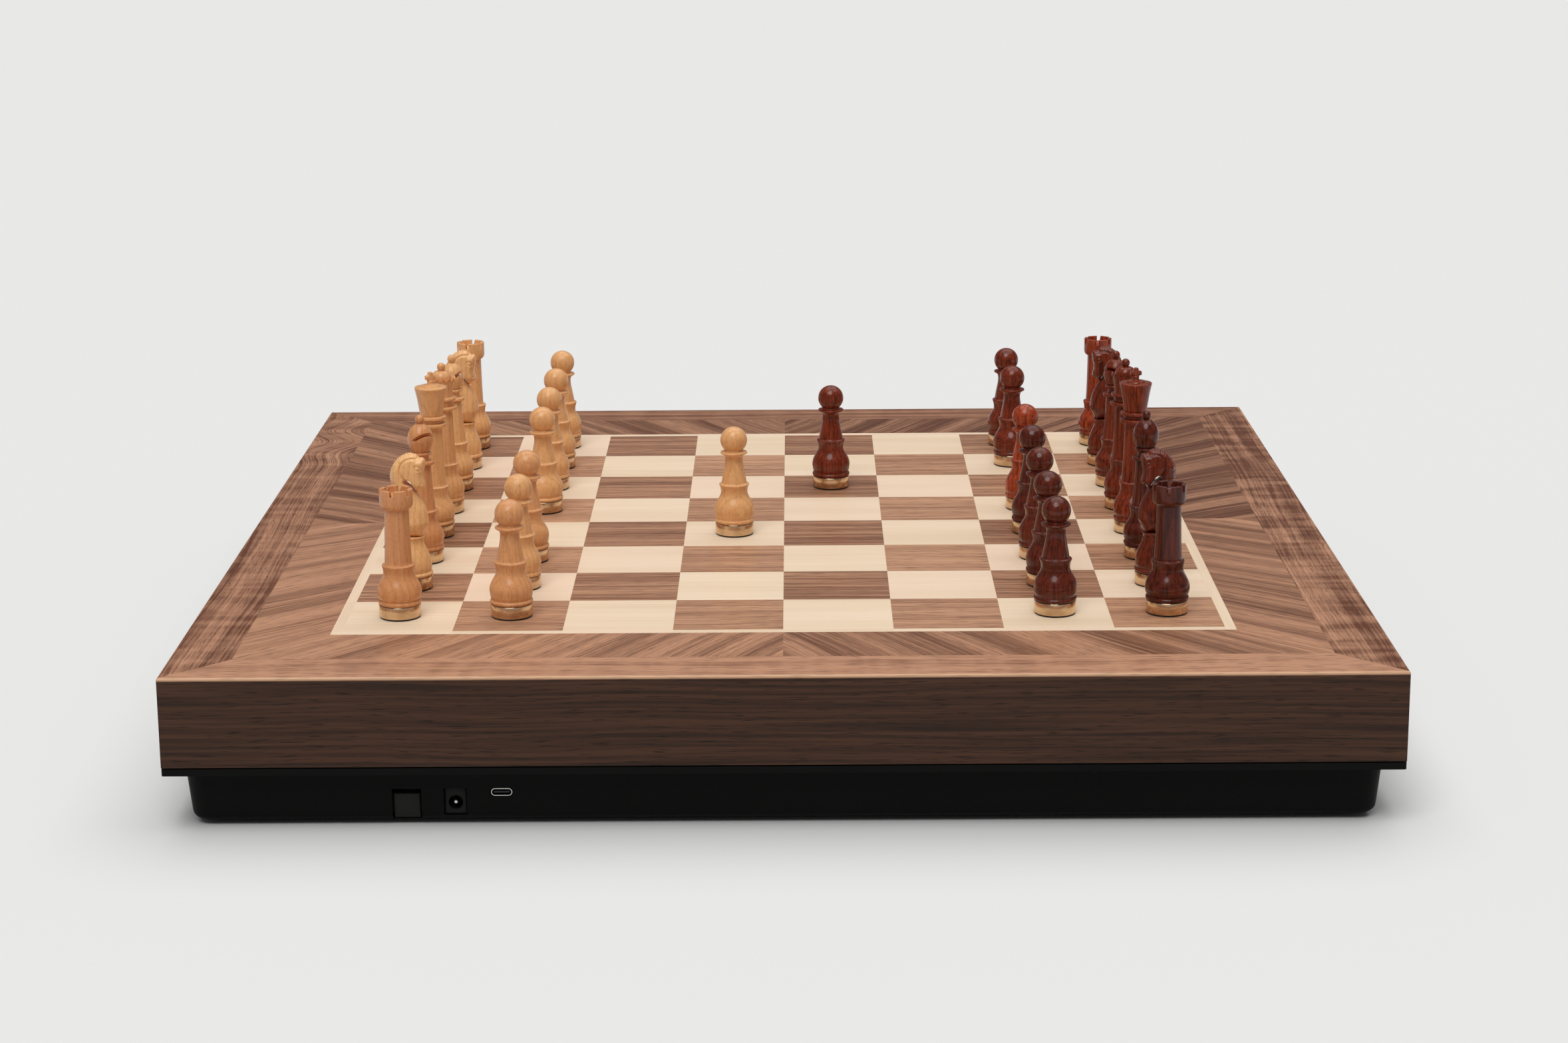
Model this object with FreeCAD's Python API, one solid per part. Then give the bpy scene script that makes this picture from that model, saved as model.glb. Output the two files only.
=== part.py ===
import FreeCAD, Part
import math
import os

# A wooden chessboard that moves its own pieces: a walnut frame and inlaid top over a black
# plastic tray, a belt-driven magnet carriage between them, and a set of 32 turned pieces.
# Millimetres. The origin is on the table under the middle of the board, +Z is up, +X runs from
# the light side to the dark side, and the sockets are in the wall that faces -Y.

Vector = FreeCAD.Vector
X_AXIS = Vector(1, 0, 0)
Y_AXIS = Vector(0, 1, 0)
Z_AXIS = Vector(0, 0, 1)
ORIGIN = Vector(0, 0, 0)
tolerance = 0.01

# Playing surface
squares_per_side = 8
square_side = 48.0
stringing_width = 4.6
border_width = 36.4
band_width = 27.0
veneer_thickness = 0.6
substrate_thickness = 3.4

# Walnut frame
frame_height = 39.2
frame_wall = 15.0
ledge_width = 8.0
ledge_thickness = 4.0
edge_chamfer = 0.6

# Plastic tray and feet
foot_height = 1.8
foot_radius = 7.0
foot_inset = 45.0
foot_recess = 0.5
tray_depth = 23.4
tray_inset = 7.5
tray_wall = 2.2
tray_draft = 5.0
tray_corner_radius = 8.0
tray_bottom_radius = 4.0
mouth_ledge = 0.5
flange_thickness = 3.0
flange_corner_radius = 1.0
reveal_height = 0.6
reveal_depth = 2.4

# Screws
screw_radius = 1.5
screw_length = 14.0
screw_head_radius = 2.5
screw_head_height = 1.8
screw_pitch = 260.0
screw_edge = 4.8
board_screw_radius = 1.2
board_screw_head_radius = 2.2
board_screw_length = 8.0

# Sockets and push button in the front wall, placed from the left edge of the board
button_from_left = 101.1
jack_from_left = 121.6
usb_from_left = 141.2
socket_clearance = 0.35
port_window_floor = 0.8
port_pocket_depth = 12.0
button_width = 11.0
button_height = 10.9
button_window_width = 12.4
button_window_height = 13.7
button_inset = 1.2
button_flange_overlap = 1.4
button_flange_thickness = 1.5
button_stem_radius = 2.5
button_travel = 1.5
jack_width = 9.0
jack_depth = 14.0
jack_height = 11.6
jack_floor_gap = 0.6
jack_inset = 1.0
jack_hole_radius = 3.02
jack_hole_above_floor = 5.6
jack_hole_depth = 9.0
jack_pin_radius = 1.0
usb_width = 8.94
usb_height = 3.26
usb_shell = 0.3
usb_depth = 7.4
usb_window_margin = 0.48
usb_tongue_width = 6.7
usb_tongue_thickness = 0.7

# Main circuit board, hung over the sockets; its parts are placed from its middle
main_board_width = 84.0
main_board_depth = 60.0
main_board_thickness = 1.6
main_board_left_of_button = 19.0
main_board_gap = 3.0
standoff_radius = 3.0
standoff_inset = 4.0
processor = (0, 4, 14, 14, 1.4)
radio_module = (24, 6, 18, 25, 2.6)
motor_drivers = [(-22, -8, 7, 7, 1.0), (-22, 6, 7, 7, 1.0), (-22, 20, 7, 7, 1.0)]
cable_headers = [(0, 24, 22, 5, 6.0), (2, -18, 12, 5, 5.0)]
capacitor_places = [(14, -18), (24, -18)]
capacitor_radius = 4.0
capacitor_height = 8.0
switch_width = 6.2
switch_depth = 4.0
switch_height = 7.1

# Sensor board under the playing surface, with one sensor at each square
sensor_board_margin = 8.0
sensor_board_thickness = 1.2
sensor_size = (2.9, 1.6, 1.0)

# Belts, pulleys and motors
running_clearance = 0.05
sliding_clearance = 0.3
shaft_radius = 2.5
belt_pitch_radius = 6.37
belt_thickness = 1.4
belt_width = 6.0
pulley_lip = 1.63
pulley_flange_thickness = 1.0
motor_side = 28.0
motor_length = 30.0
motor_chamfer = 3.0

# Guide rods, posts and lengthwise drive
rod_radius = 4.0
rod_end_gap = 9.0
post_width = 15.0
post_roof = 1.5
post_wall = 4.2
post_inboard = 17.0
axle_overhang = 1.0
saddle_height = 1.0
motor_wall_gap = 1.1
belt_wall_gap = 1.6
belt_truck_gap = 1.5
lengthwise_motor_x = 31.0

# Gantry, carriage and magnet, parked under the pawn that has just been moved
parked_column = 4
parked_row = 4
truck_length = 32.0
truck_width = 24.0
truck_below_rod = 8.0
bush_wall = 2.0
motor_gap = 0.5
beam_width = 22.0
beam_thickness = 6.0
guide_width = 9.0
guide_height = 5.0
tower_width = 20.0
tower_height = 12.0
tower_wall = 6.0
cross_pulley_above_beam = 4.0
cross_pulley_inboard = 8.0
carriage_side_wall = 1.25
carriage_end_wall = 3.25
carriage_gap = 1.0
carriage_web = 1.0
clamp_length = 10.0
clamp_jaw = 2.3
coil_wall = 1.7
magnet_radius = 9.0
magnet_cap = 4.0
magnet_floor_gap = 0.2
magnet_proud = 3.9
magnet_lift = 4.5
magnet_gap = 0.4

# Parts that every chess piece shares
felt_inset = 0.35
felt_thickness = 0.7
base_radius = 9.25
base_height = 5.5
base_magnet_radius = 6.0
base_magnet_height = 3.0
bead_overhang = 0.3
bead_height = 1.9
groove_inset = 0.3
groove_height = 0.3
shoulder_share = 0.74
neck_below_ring = 3.8
neck_hollow = 0.45
ring_radius = 7.2
ring_height = 1.5
ring_flare = 0.35
ring_edge = 0.2
stem_foot_radius = 6.0
stem_hollow = 0.3
collar_height = 1.7
back_rank_outset = 1.4

# Pawn; here and below, heights are measured up from the board
pawn_bulge_radius = 9.6
pawn_neck_radius = 6.4
pawn_ring_z = 24.4
pawn_stem_radius = 4.3
pawn_stem_top_z = 37.2
pawn_collar_radius = 6.5
pawn_collar_z = 40.4
pawn_collar_edge = 0.5
pawn_throat_radius = 4.4
pawn_ball_radius = 6.45
pawn_ball_z = 46.6

# Rook
rook_bulge_radius = 9.9
rook_neck_radius = 6.8
rook_ring_z = 23.4
rook_stem_radius = 5.4
rook_stem_top_z = 48.8
rook_head_radius = 7.35
rook_head_z = 51.8
rook_head_swell = 0.9
rook_height = 58.2
rook_lip = 0.4
rook_cup_radius = 5.3
rook_cup_depth = 3.0
rook_slots = 6
rook_slot_width = 1.9

# Bishop; collars are given as (radius, height)
bishop_bulge_radius = 9.7
bishop_neck_radius = 6.4
bishop_ring_z = 24.0
bishop_stem_radius = 4.5
bishop_stem_top_z = 46.3
bishop_lower_collar = (6.2, 47.7)
bishop_upper_collar = (5.0, 52.0)
bishop_throat_radius = 3.7
bishop_chin_radius = 4.2
bishop_chin_rise = 0.4
bishop_head_radius = 6.0
bishop_head_z = 58.6
bishop_brow_radius = 4.4
bishop_brow_z = 63.6
bishop_tip_radius = 1.3
bishop_tip_z = 66.4
bishop_swells = (0.75, 0.45, 0.35)
bishop_ball_radius = 2.15
bishop_ball_z = 68.1
bishop_slit_width = 1.5
bishop_slit_depth = 5.2
bishop_slit_slant = 50.0

# Queen
queen_bulge_radius = 9.7
queen_neck_radius = 6.5
queen_ring_z = 24.2
queen_stem_radius = 4.9
queen_stem_top_z = 51.9
queen_lower_collar = (7.3, 53.3)
queen_upper_collar = (6.8, 57.8)
queen_waist_radius = 5.4
queen_crown_foot_radius = 5.1
queen_crown_flare = 0.35
queen_rim_radius = 6.95
queen_rim_z = 68.7
queen_rim_wall = 0.9
queen_points = 14
queen_point_depth = 1.6
queen_cup_depth = 2.1
queen_notch_overshoot = 0.1
queen_dome_radius = 5.3
queen_dome_top_z = 71.9
queen_dome_swell = 1.3
queen_ball_radius = 2.1
queen_ball_z = 73.6
queen_ball_neck_radius = 1.2

# King
king_bulge_radius = 9.8
king_neck_radius = 6.6
king_ring_z = 24.2
king_stem_radius = 4.95
king_stem_top_z = 53.7
king_lower_collar = (7.25, 55.2)
king_upper_collar = (7.0, 58.7)
king_waist_radius = 5.4
king_crown_flare = 0.2
king_rim_radius = 7.8
king_rim_z = 73.3
king_rim_edge = 0.6
king_lid_radius = 4.5
king_lid_height = 0.7
king_finial_radius = 1.6
king_cross_z = 78.2
king_cross_radius = 1.7
king_cross_reach = 2.8

# Knight; its two views are (sideways, height, swell) steps around the outline, facing +X
knight_shoulder_radius = 7.6
knight_shoulder_z = 17.0
knight_bulge_swell = 1.2
knight_waist_radius = 5.8
knight_waist_z = 22.4
knight_waist_hollow = 0.5
knight_step_radius = 6.3
knight_step_z = 24.7
knight_reach = 10.0
knight_foot = 5.6
knight_side_view = [
    (-knight_foot, knight_step_z, 0), (knight_foot, knight_step_z, 0),
    # Chest, throat, jaw and muzzle
    (8.3, 30.5, 0.9), (6.3, 38.4, 0.35), (-0.6, 48.4, 0.25), (-0.4, 49.6, -0.3),
    (1.6, 48.6, -0.3), (3.4, 45.0, 0.2), (6.6, 46.0, 0.4), (7.3, 48.2, 0.4),
    # Face, forehead, ear, crest and back
    (6.6, 53.3, -0.3), (7.6, 58.0, 0.2), (6.4, 60.8, 0.3), (4.4, 61.2, 0), (3.6, 62.8, 0.2),
    (0.0, 63.3, 0.3), (-8.8, 53.4, 2.4), (-6.6, 40.0, 0.9), (-6.4, 30.0, -0.4),
]
knight_front_view = [
    (-knight_foot, knight_step_z, 0), (knight_foot, knight_step_z, 0),
    (7.2, 31.0, 0.5), (4.9, 46.0, 0.4), (5.0, 55.0, -0.2), (3.2, 64.0, 0.6),
    (-3.2, 64.0, 0), (-5.0, 55.0, 0.6), (-4.9, 46.0, -0.2), (-7.2, 31.0, 0.4),
]

# Set-up: rows run from the front to the back, and each side has made one pawn move
back_rank = ["rook", "knight", "bishop", "king", "queen", "bishop", "knight", "rook"]
file_letters = "hgfedcba"
moved_pawn_columns = {"white_pawn_e": 4, "black_pawn_c": 5}
light_facing = 0
dark_facing = 180
turns = {"white_bishop_f": -50, "white_bishop_c": -15, "black_bishop_f": 100, "black_bishop_c": -130,
         "white_king": 35, "black_king": 190}

# Half widths that follow from the sizes above
field_half = squares_per_side * square_side / 2
stringing_half = field_half + stringing_width
panel_half = stringing_half + border_width
board_half = panel_half + band_width
draft_slope = math.tan(math.radians(tray_draft))
tray_half = board_half - tray_inset
tray_bottom_half = tray_half - tray_depth * draft_slope
cavity_half = tray_half - tray_wall
cavity_floor_half = cavity_half - (tray_depth - tray_wall) * draft_slope

# Heights that follow from the sizes above
tray_bottom_z = foot_height
floor_z = tray_bottom_z + tray_wall
flange_bottom_z = tray_bottom_z + tray_depth
flange_top_z = flange_bottom_z + flange_thickness
frame_bottom_z = flange_top_z + reveal_height
top_z = frame_bottom_z + frame_height
veneer_bottom_z = top_z - veneer_thickness
panel_bottom_z = veneer_bottom_z - substrate_thickness
sensor_board_z = panel_bottom_z - sensor_board_thickness
port_top_z = floor_z + jack_floor_gap + jack_height
usb_z = port_top_z - usb_height / 2
main_board_top_z = port_top_z + main_board_thickness

# Places of the sockets and the main board
button_x = -board_half + button_from_left
jack_x = -board_half + jack_from_left
usb_x = -board_half + usb_from_left
board_left_x = button_x - main_board_left_of_button
board_front_y = -cavity_half + main_board_gap

# Lengthwise drive, laid out from the floor and walls of the tray, clear of the frame above them
belt_seat_radius = belt_pitch_radius - belt_thickness / 2 - sliding_clearance
pulley_flange_radius = belt_pitch_radius + pulley_lip
bush_radius = rod_radius + bush_wall
rod_z = floor_z + saddle_height + motor_side / 2
post_roof_z = rod_z + rod_radius + post_roof
motor_room_half = min(cavity_floor_half, board_half - frame_wall)
shaft_y = motor_room_half - motor_wall_gap - motor_side / 2
belt_x = cavity_floor_half - belt_wall_gap - pulley_flange_thickness - belt_width / 2
rod_x = belt_x - belt_width / 2 - belt_truck_gap - truck_width / 2
rod_end = shaft_y - rod_end_gap

# Crosswise drive, laid out from the posts below and the sensors above
parked_x = (parked_column - (squares_per_side + 1) / 2) * square_side
parked_y = (parked_row - (squares_per_side + 1) / 2) * square_side
cross_pulley_x = rod_x - cross_pulley_inboard
cross_pulley_z = post_roof_z + motor_gap + motor_side / 2
beam_top_z = cross_pulley_z - cross_pulley_above_beam
beam_bottom_z = beam_top_z - beam_thickness
guide_top_z = beam_top_z + guide_height
guide_half = cross_pulley_x - tower_wall
coil_bore_radius = magnet_radius + running_clearance
coil_radius = coil_bore_radius + coil_wall
coil_floor_z = guide_top_z + sliding_clearance + carriage_web
carriage_width = 2 * (coil_radius + carriage_side_wall)
carriage_length = 2 * (coil_radius + carriage_end_wall)
cross_belt_y = parked_y - carriage_width / 2 - carriage_gap - belt_width / 2
cross_motor_y = parked_y + truck_length / 2 + motor_length / 2
magnet_bottom_z = coil_floor_z + magnet_floor_gap
magnet_top_z = sensor_board_z - sensor_size[2] - magnet_gap - magnet_lift
carriage_bottom_z = beam_top_z + carriage_gap
carriage_top_z = magnet_top_z - magnet_proud

# Heights of the foot of a chess piece, above the board
base_top_z = felt_thickness + base_height
bead_top_z = base_top_z + bead_height
groove_top_z = bead_top_z + groove_height
bead_radius = base_radius + bead_overhang
groove_radius = base_radius - groove_inset


# Basic solids

def block(x_span, y_span, z_span):
    corner = Vector(x_span[0], y_span[0], z_span[0])
    return Part.makeBox(x_span[1] - x_span[0], y_span[1] - y_span[0], z_span[1] - z_span[0], corner)


def about(middle, size):
    return (middle - size / 2, middle + size / 2)


def slab(half, z_span):
    return block((-half, half), (-half, half), z_span)


def rod(radius, start, axis, length):
    return Part.makeCylinder(radius, length, start, axis)


def prism(points, direction):
    corners = [Vector(*point) for point in points]
    return Part.Face(Part.makePolygon(corners + corners[:1])).extrude(direction)


def fused(solids):
    return solids[0].fuse(solids[1:]).removeSplitter()


def square_wire(half, z):
    corners = [Vector(-half, -half, z), Vector(half, -half, z), Vector(half, half, z), Vector(-half, half, z)]
    return Part.makePolygon(corners + corners[:1])


def rising_edges(shape):
    return [edge for edge in shape.Edges if edge.BoundBox.ZLength > shape.BoundBox.ZLength - tolerance]


def drafted_box(bottom_half, bottom_z, top_half, upper_z, corner_radius, bottom_radius):
    """A square tub with sloping sides, round corners and a round lower edge."""
    tub = Part.makeLoft([square_wire(bottom_half, bottom_z), square_wire(top_half, upper_z)], True, True)
    tub = tub.makeFillet(corner_radius, rising_edges(tub))
    lower = [edge for edge in tub.Edges if edge.BoundBox.ZMax < bottom_z + tolerance]
    return tub.makeFillet(bottom_radius, lower)


def upright_rounded(shape, radius):
    return shape.makeFillet(radius, rising_edges(shape))


def arc_or_line(here, there, middle, swell):
    return Part.Arc(here, middle, there).toShape() if swell else Part.makeLine(here, there)


def lathe(steps):
    """Turn a profile of (radius, height, swell) steps from the foot of the wood about the Z axis."""
    start = Vector(0, 0, base_top_z)
    edges = []
    here = start
    for radius, height, swell in steps:
        there = Vector(radius, 0, height)
        chord = there - here
        side = Vector(chord.z, 0, -chord.x).normalize()
        edges.append(arc_or_line(here, there, (here + there) / 2 + side * swell, swell))
        here = there
    edges.append(Part.makeLine(here, start))
    return Part.Face(Part.Wire(edges)).revolve(ORIGIN, Z_AXIS, 360)


def outline_solid(steps, place, direction):
    """Extrude a closed outline of (a, b, swell) steps that place() puts in space."""
    edges = []
    a, b = steps[-1][:2]
    for next_a, next_b, swell in steps:
        length = math.hypot(next_a - a, next_b - b)
        middle_a = (a + next_a) / 2 + swell * (next_b - b) / length
        middle_b = (b + next_b) / 2 - swell * (next_a - a) / length
        edges.append(arc_or_line(place(a, b), place(next_a, next_b), place(middle_a, middle_b), swell))
        a, b = next_a, next_b
    return Part.Face(Part.Wire(edges)).extrude(direction)


def belt_loop(first, second, width_axis):
    """A flat belt around two equal pulleys, centred on its width."""
    run = (second - first).normalize()
    lift = width_axis.cross(run)

    def loop_face(radius):
        up = lift * radius
        out = run * radius
        edges = [
            Part.makeLine(first + up, second + up),
            Part.Arc(second + up, second + out, second - up).toShape(),
            Part.makeLine(second - up, first - up),
            Part.Arc(first - up, first - out, first + up).toShape(),
        ]
        return Part.Face(Part.Wire(edges))

    half = belt_thickness / 2
    ring = loop_face(belt_pitch_radius + half).cut(loop_face(belt_pitch_radius - half))
    ring.translate(width_axis * (-belt_width / 2))
    return ring.Faces[0].extrude(width_axis * belt_width)


def pulley(middle, axis):
    """A flanged belt pulley, running clear of the belt that it drives."""
    seat_start = middle - axis * (belt_width / 2 + pulley_flange_thickness)
    total = belt_width + 2 * pulley_flange_thickness
    cheek = middle + axis * (belt_width / 2)
    return fused([
        rod(belt_seat_radius, seat_start, axis, total),
        rod(pulley_flange_radius, seat_start, axis, pulley_flange_thickness),
        rod(pulley_flange_radius, cheek, axis, pulley_flange_thickness),
    ])


def motor(middle, axis, size_axes):
    """A square stepper motor with cut corners, centred on its shaft line."""
    half = motor_side / 2
    cut = half - motor_chamfer
    outline = [(half, cut), (cut, half), (-cut, half), (-half, cut),
               (-half, -cut), (-cut, -half), (cut, -half), (half, -cut)]
    back = middle - axis * (motor_length / 2)
    corners = [back + size_axes[0] * a + size_axes[1] * b for a, b in outline]
    body = Part.Face(Part.makePolygon(corners + corners[:1])).extrude(axis * motor_length)
    return body.cut(rod(shaft_radius + running_clearance, back, axis, motor_length))


# Walnut frame and inlaid top

def front_rail():
    """One mitred rail with its ledge, for the front; the other three are turned copies."""
    half = board_half
    wall_y = -half + frame_wall
    ledge_y = -panel_half + ledge_width
    ledge_z = panel_bottom_z - ledge_thickness
    section = [
        (-half, -half, frame_bottom_z),
        (-half, wall_y, frame_bottom_z),
        (-half, wall_y, ledge_z),
        (-half, ledge_y, ledge_z),
        (-half, ledge_y, panel_bottom_z),
        (-half, -panel_half, panel_bottom_z),
        (-half, -panel_half, top_z),
        (-half, -half + edge_chamfer, top_z),
        (-half, -half, top_z - edge_chamfer),
    ]
    length = prism(section, X_AXIS * (2 * half))
    mitre = prism([(-half, -half, 0), (half, -half, 0), (0, 0, 0)], Z_AXIS * (2 * top_z))
    rail = length.common(mitre)
    for x in about(0, screw_pitch):
        pilot = rod(screw_radius, Vector(x, -half + screw_edge, frame_bottom_z), Z_AXIS, screw_length)
        rail = rail.cut(pilot)
    return rail


def frame_rails():
    rails = {}
    for name, turn in (("front", 0), ("right", 90), ("back", 180), ("left", 270)):
        rail = front_rail()
        rail.rotate(ORIGIN, Z_AXIS, turn)
        rails["frame_rail_" + name] = [rail]
    return rails


def square_middles():
    """Column, row and middle of every square."""
    offset = (squares_per_side + 1) / 2
    numbers = range(1, squares_per_side + 1)
    return [(column, row, (column - offset) * square_side, (row - offset) * square_side)
            for column in numbers for row in numbers]


def inlaid_squares(parity):
    return [block(about(x, square_side), about(y, square_side), (veneer_bottom_z, top_z))
            for column, row, x, y in square_middles() if (column + row) % 2 == parity]


def four_veneers(outline):
    """One piece of veneer with a flat outline, and its three turned copies."""
    corners = [(x, y, veneer_bottom_z) for x, y in outline]
    veneers = []
    for turn in range(4):
        veneer = prism(corners, Z_AXIS * veneer_thickness)
        veneer.rotate(ORIGIN, Z_AXIS, 90 * turn)
        veneers.append(veneer)
    return veneers


def stringing():
    """Four light strips around the field, mitred at the corners."""
    inner, outer = field_half, stringing_half
    return four_veneers([(-inner, -inner), (-outer, -outer), (outer, -outer), (inner, -inner)])


def border_corners():
    """Four L-shaped border veneers that meet at the middle of each side."""
    inner, outer = stringing_half, panel_half
    return four_veneers([(0, -inner), (0, -outer), (-outer, -outer),
                         (-outer, 0), (-inner, 0), (-inner, -inner)])


def playing_top():
    return {
        "top_panel": [slab(panel_half, (panel_bottom_z, veneer_bottom_z))],
        "maple_inlay": inlaid_squares(0) + stringing(),
        "walnut_veneer": inlaid_squares(1) + border_corners(),
    }


# Plastic tray, feet and screws

def foot_places():
    reach = board_half - foot_inset
    return [(x, y) for x in (-reach, reach) for y in (-reach, reach)]


def flange_screw_places():
    line = board_half - screw_edge
    along = about(0, screw_pitch)
    return [(x, y) for x in along for y in (-line, line)] + [(x, y) for x in (-line, line) for y in along]


def board_screw_places():
    left = board_left_x + standoff_inset
    right = board_left_x + main_board_width - standoff_inset
    front = board_front_y + standoff_inset
    back = board_front_y + main_board_depth - standoff_inset
    return [(x, y) for x in (left, right) for y in (front, back)]


def round_slot(margin, start_y, length):
    """A bar with the rounded outline of the data socket, larger all round by the margin."""
    radius = usb_height / 2 + margin
    reach = usb_width / 2 - usb_height / 2
    ends = [rod(radius, Vector(usb_x + side * reach, start_y, usb_z), Y_AXIS, length) for side in (-1, 1)]
    middle = block(about(usb_x, 2 * reach), (start_y, start_y + length), about(usb_z, 2 * radius))
    return fused([middle] + ends)


def port_windows():
    """Cut-outs in the front wall for the button, the power jack and the data socket."""
    front = (-board_half, -cavity_half + port_pocket_depth)
    button_floor = tray_bottom_z + port_window_floor
    button_span = (button_floor, button_floor + button_window_height)
    jack_span = (port_top_z - jack_height - socket_clearance, port_top_z + socket_clearance)
    return [
        block(about(button_x, button_window_width), front, button_span),
        block(about(jack_x, jack_width + 2 * socket_clearance), front, jack_span),
        round_slot(usb_window_margin, front[0], front[1] - front[0]),
    ]


def base_tray():
    outside = drafted_box(tray_bottom_half, tray_bottom_z, tray_half, flange_bottom_z,
                          tray_corner_radius, tray_bottom_radius)
    flange = upright_rounded(slab(board_half, (flange_bottom_z, flange_top_z)), flange_corner_radius)
    land = slab(board_half - reveal_depth, (flange_top_z, frame_bottom_z))
    inner_radius = tray_corner_radius - tray_wall
    hollow = drafted_box(cavity_floor_half, floor_z, cavity_half, flange_bottom_z,
                         inner_radius, tray_bottom_radius - tray_wall)
    mouth = upright_rounded(slab(cavity_half + mouth_ledge, (flange_bottom_z, top_z)), inner_radius)
    tray = fused([outside, flange, land]).cut(hollow).cut(mouth)
    standoffs = [rod(standoff_radius, Vector(x, y, floor_z), Z_AXIS, port_top_z - floor_z)
                 for x, y in board_screw_places()]
    tray = fused([tray] + standoffs)
    for window in port_windows():
        tray = tray.cut(window)
    for x, y in flange_screw_places():
        tray = tray.cut(rod(screw_radius + running_clearance, Vector(x, y, 0), Z_AXIS, top_z))
    for x, y in foot_places():
        tray = tray.cut(rod(foot_radius, Vector(x, y, 0), Z_AXIS, foot_height + foot_recess))
    pilot_depth = board_screw_length - main_board_thickness
    for x, y in board_screw_places():
        tray = tray.cut(rod(board_screw_radius, Vector(x, y, port_top_z - pilot_depth), Z_AXIS, pilot_depth))
    return tray


def screw(seat, direction, shank_radius, shank_length, head_radius):
    """A pan-head screw whose head sits on the seat and whose shank runs in the given direction."""
    shank = rod(shank_radius, seat, direction, shank_length)
    head = rod(head_radius, seat - direction * screw_head_height, direction, screw_head_height)
    return fused([head, shank])


def screws():
    length = frame_bottom_z - flange_bottom_z + screw_length
    solids = [screw(Vector(x, y, flange_bottom_z), Z_AXIS, screw_radius, length, screw_head_radius)
              for x, y in flange_screw_places()]
    solids += [screw(Vector(x, y, main_board_top_z), Z_AXIS * -1, board_screw_radius, board_screw_length,
                     board_screw_head_radius) for x, y in board_screw_places()]
    return solids


def casing():
    feet = [rod(foot_radius, Vector(x, y, 0), Z_AXIS, foot_height + foot_recess) for x, y in foot_places()]
    return {"base_tray": [base_tray()], "rubber_feet": feet, "screws": screws()}


# Sockets, push button and circuit boards

def front_wall_y(z):
    """Outer face of the sloping front wall at a height."""
    return -(tray_half - (flange_bottom_z - z) * draft_slope)


def button_back_y():
    return -cavity_floor_half + sliding_clearance + button_flange_thickness


def power_button():
    low = tray_bottom_z + port_window_floor + sliding_clearance
    high = low + button_height
    back = button_back_y()
    left = button_x - button_width / 2
    cap = prism([(left, front_wall_y(low) + button_inset, low),
                 (left, front_wall_y(high) + button_inset, high),
                 (left, back, high), (left, back, low)], X_AXIS * button_width)
    flange_width = button_window_width + 2 * button_flange_overlap
    flange_low = floor_z + 3 * sliding_clearance
    flange = block(about(button_x, flange_width), (back - button_flange_thickness, back), (flange_low, high))
    stem_start = Vector(button_x, back, (flange_low + high) / 2)
    stem = rod(button_stem_radius, stem_start, Y_AXIS, button_travel)
    return fused([cap, flange, stem])


def dc_jack():
    bottom = port_top_z - jack_height
    front = front_wall_y(bottom) + jack_inset
    body = block(about(jack_x, jack_width), (front, front + jack_depth), (bottom, port_top_z))
    axis_start = Vector(jack_x, front, floor_z + jack_hole_above_floor)
    hole = rod(jack_hole_radius, axis_start, Y_AXIS, jack_hole_depth)
    pin = rod(jack_pin_radius, axis_start + Y_AXIS * (jack_inset / 2), Y_AXIS, jack_hole_depth)
    return fused([body.cut(hole), pin])


def usb_c_socket():
    front = front_wall_y(usb_z) + usb_shell
    shell = round_slot(0, front, usb_depth).cut(round_slot(-usb_shell, front, usb_depth - usb_shell))
    tongue = block(about(usb_x, usb_tongue_width), (front + usb_shell, front + usb_depth),
                   about(usb_z, usb_tongue_thickness))
    return fused([shell, tongue])


def main_board():
    """The board with its chips, headers and capacitors on top, and the button's switch below."""
    width = (board_left_x, board_left_x + main_board_width)
    depth = (board_front_y, board_front_y + main_board_depth)
    board = block(width, depth, (port_top_z, main_board_top_z))
    for x, y in board_screw_places():
        board = board.cut(rod(board_screw_radius + running_clearance, Vector(x, y, 0), Z_AXIS, top_z))
    middle_x = sum(width) / 2
    middle_y = sum(depth) / 2
    solids = [board]
    for x, y, part_width, part_depth, height in [processor, radio_module] + motor_drivers + cable_headers:
        solids.append(block(about(middle_x + x, part_width), about(middle_y + y, part_depth),
                            (main_board_top_z, main_board_top_z + height)))
    for x, y in capacitor_places:
        foot = Vector(middle_x + x, middle_y + y, main_board_top_z)
        solids.append(rod(capacitor_radius, foot, Z_AXIS, capacitor_height))
    switch_y = button_back_y() + 2 * button_travel + sliding_clearance
    solids.append(block(about(button_x, switch_width), (switch_y, switch_y + switch_depth),
                        (port_top_z - switch_height, port_top_z)))
    return solids


def sensor_board():
    solids = [slab(field_half + sensor_board_margin, (sensor_board_z, panel_bottom_z))]
    width, depth, height = sensor_size
    for column, row, x, y in square_middles():
        solids.append(block(about(x, width), about(y, depth), (sensor_board_z - height, sensor_board_z)))
    return solids


def electronics():
    return {
        "main_board": main_board(),
        "sensor_board": sensor_board(),
        "power_button": [power_button()],
        "dc_jack": [dc_jack()],
        "usb_c_socket": [usb_c_socket()],
    }


# Lengthwise drive, fixed in the tray

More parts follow.
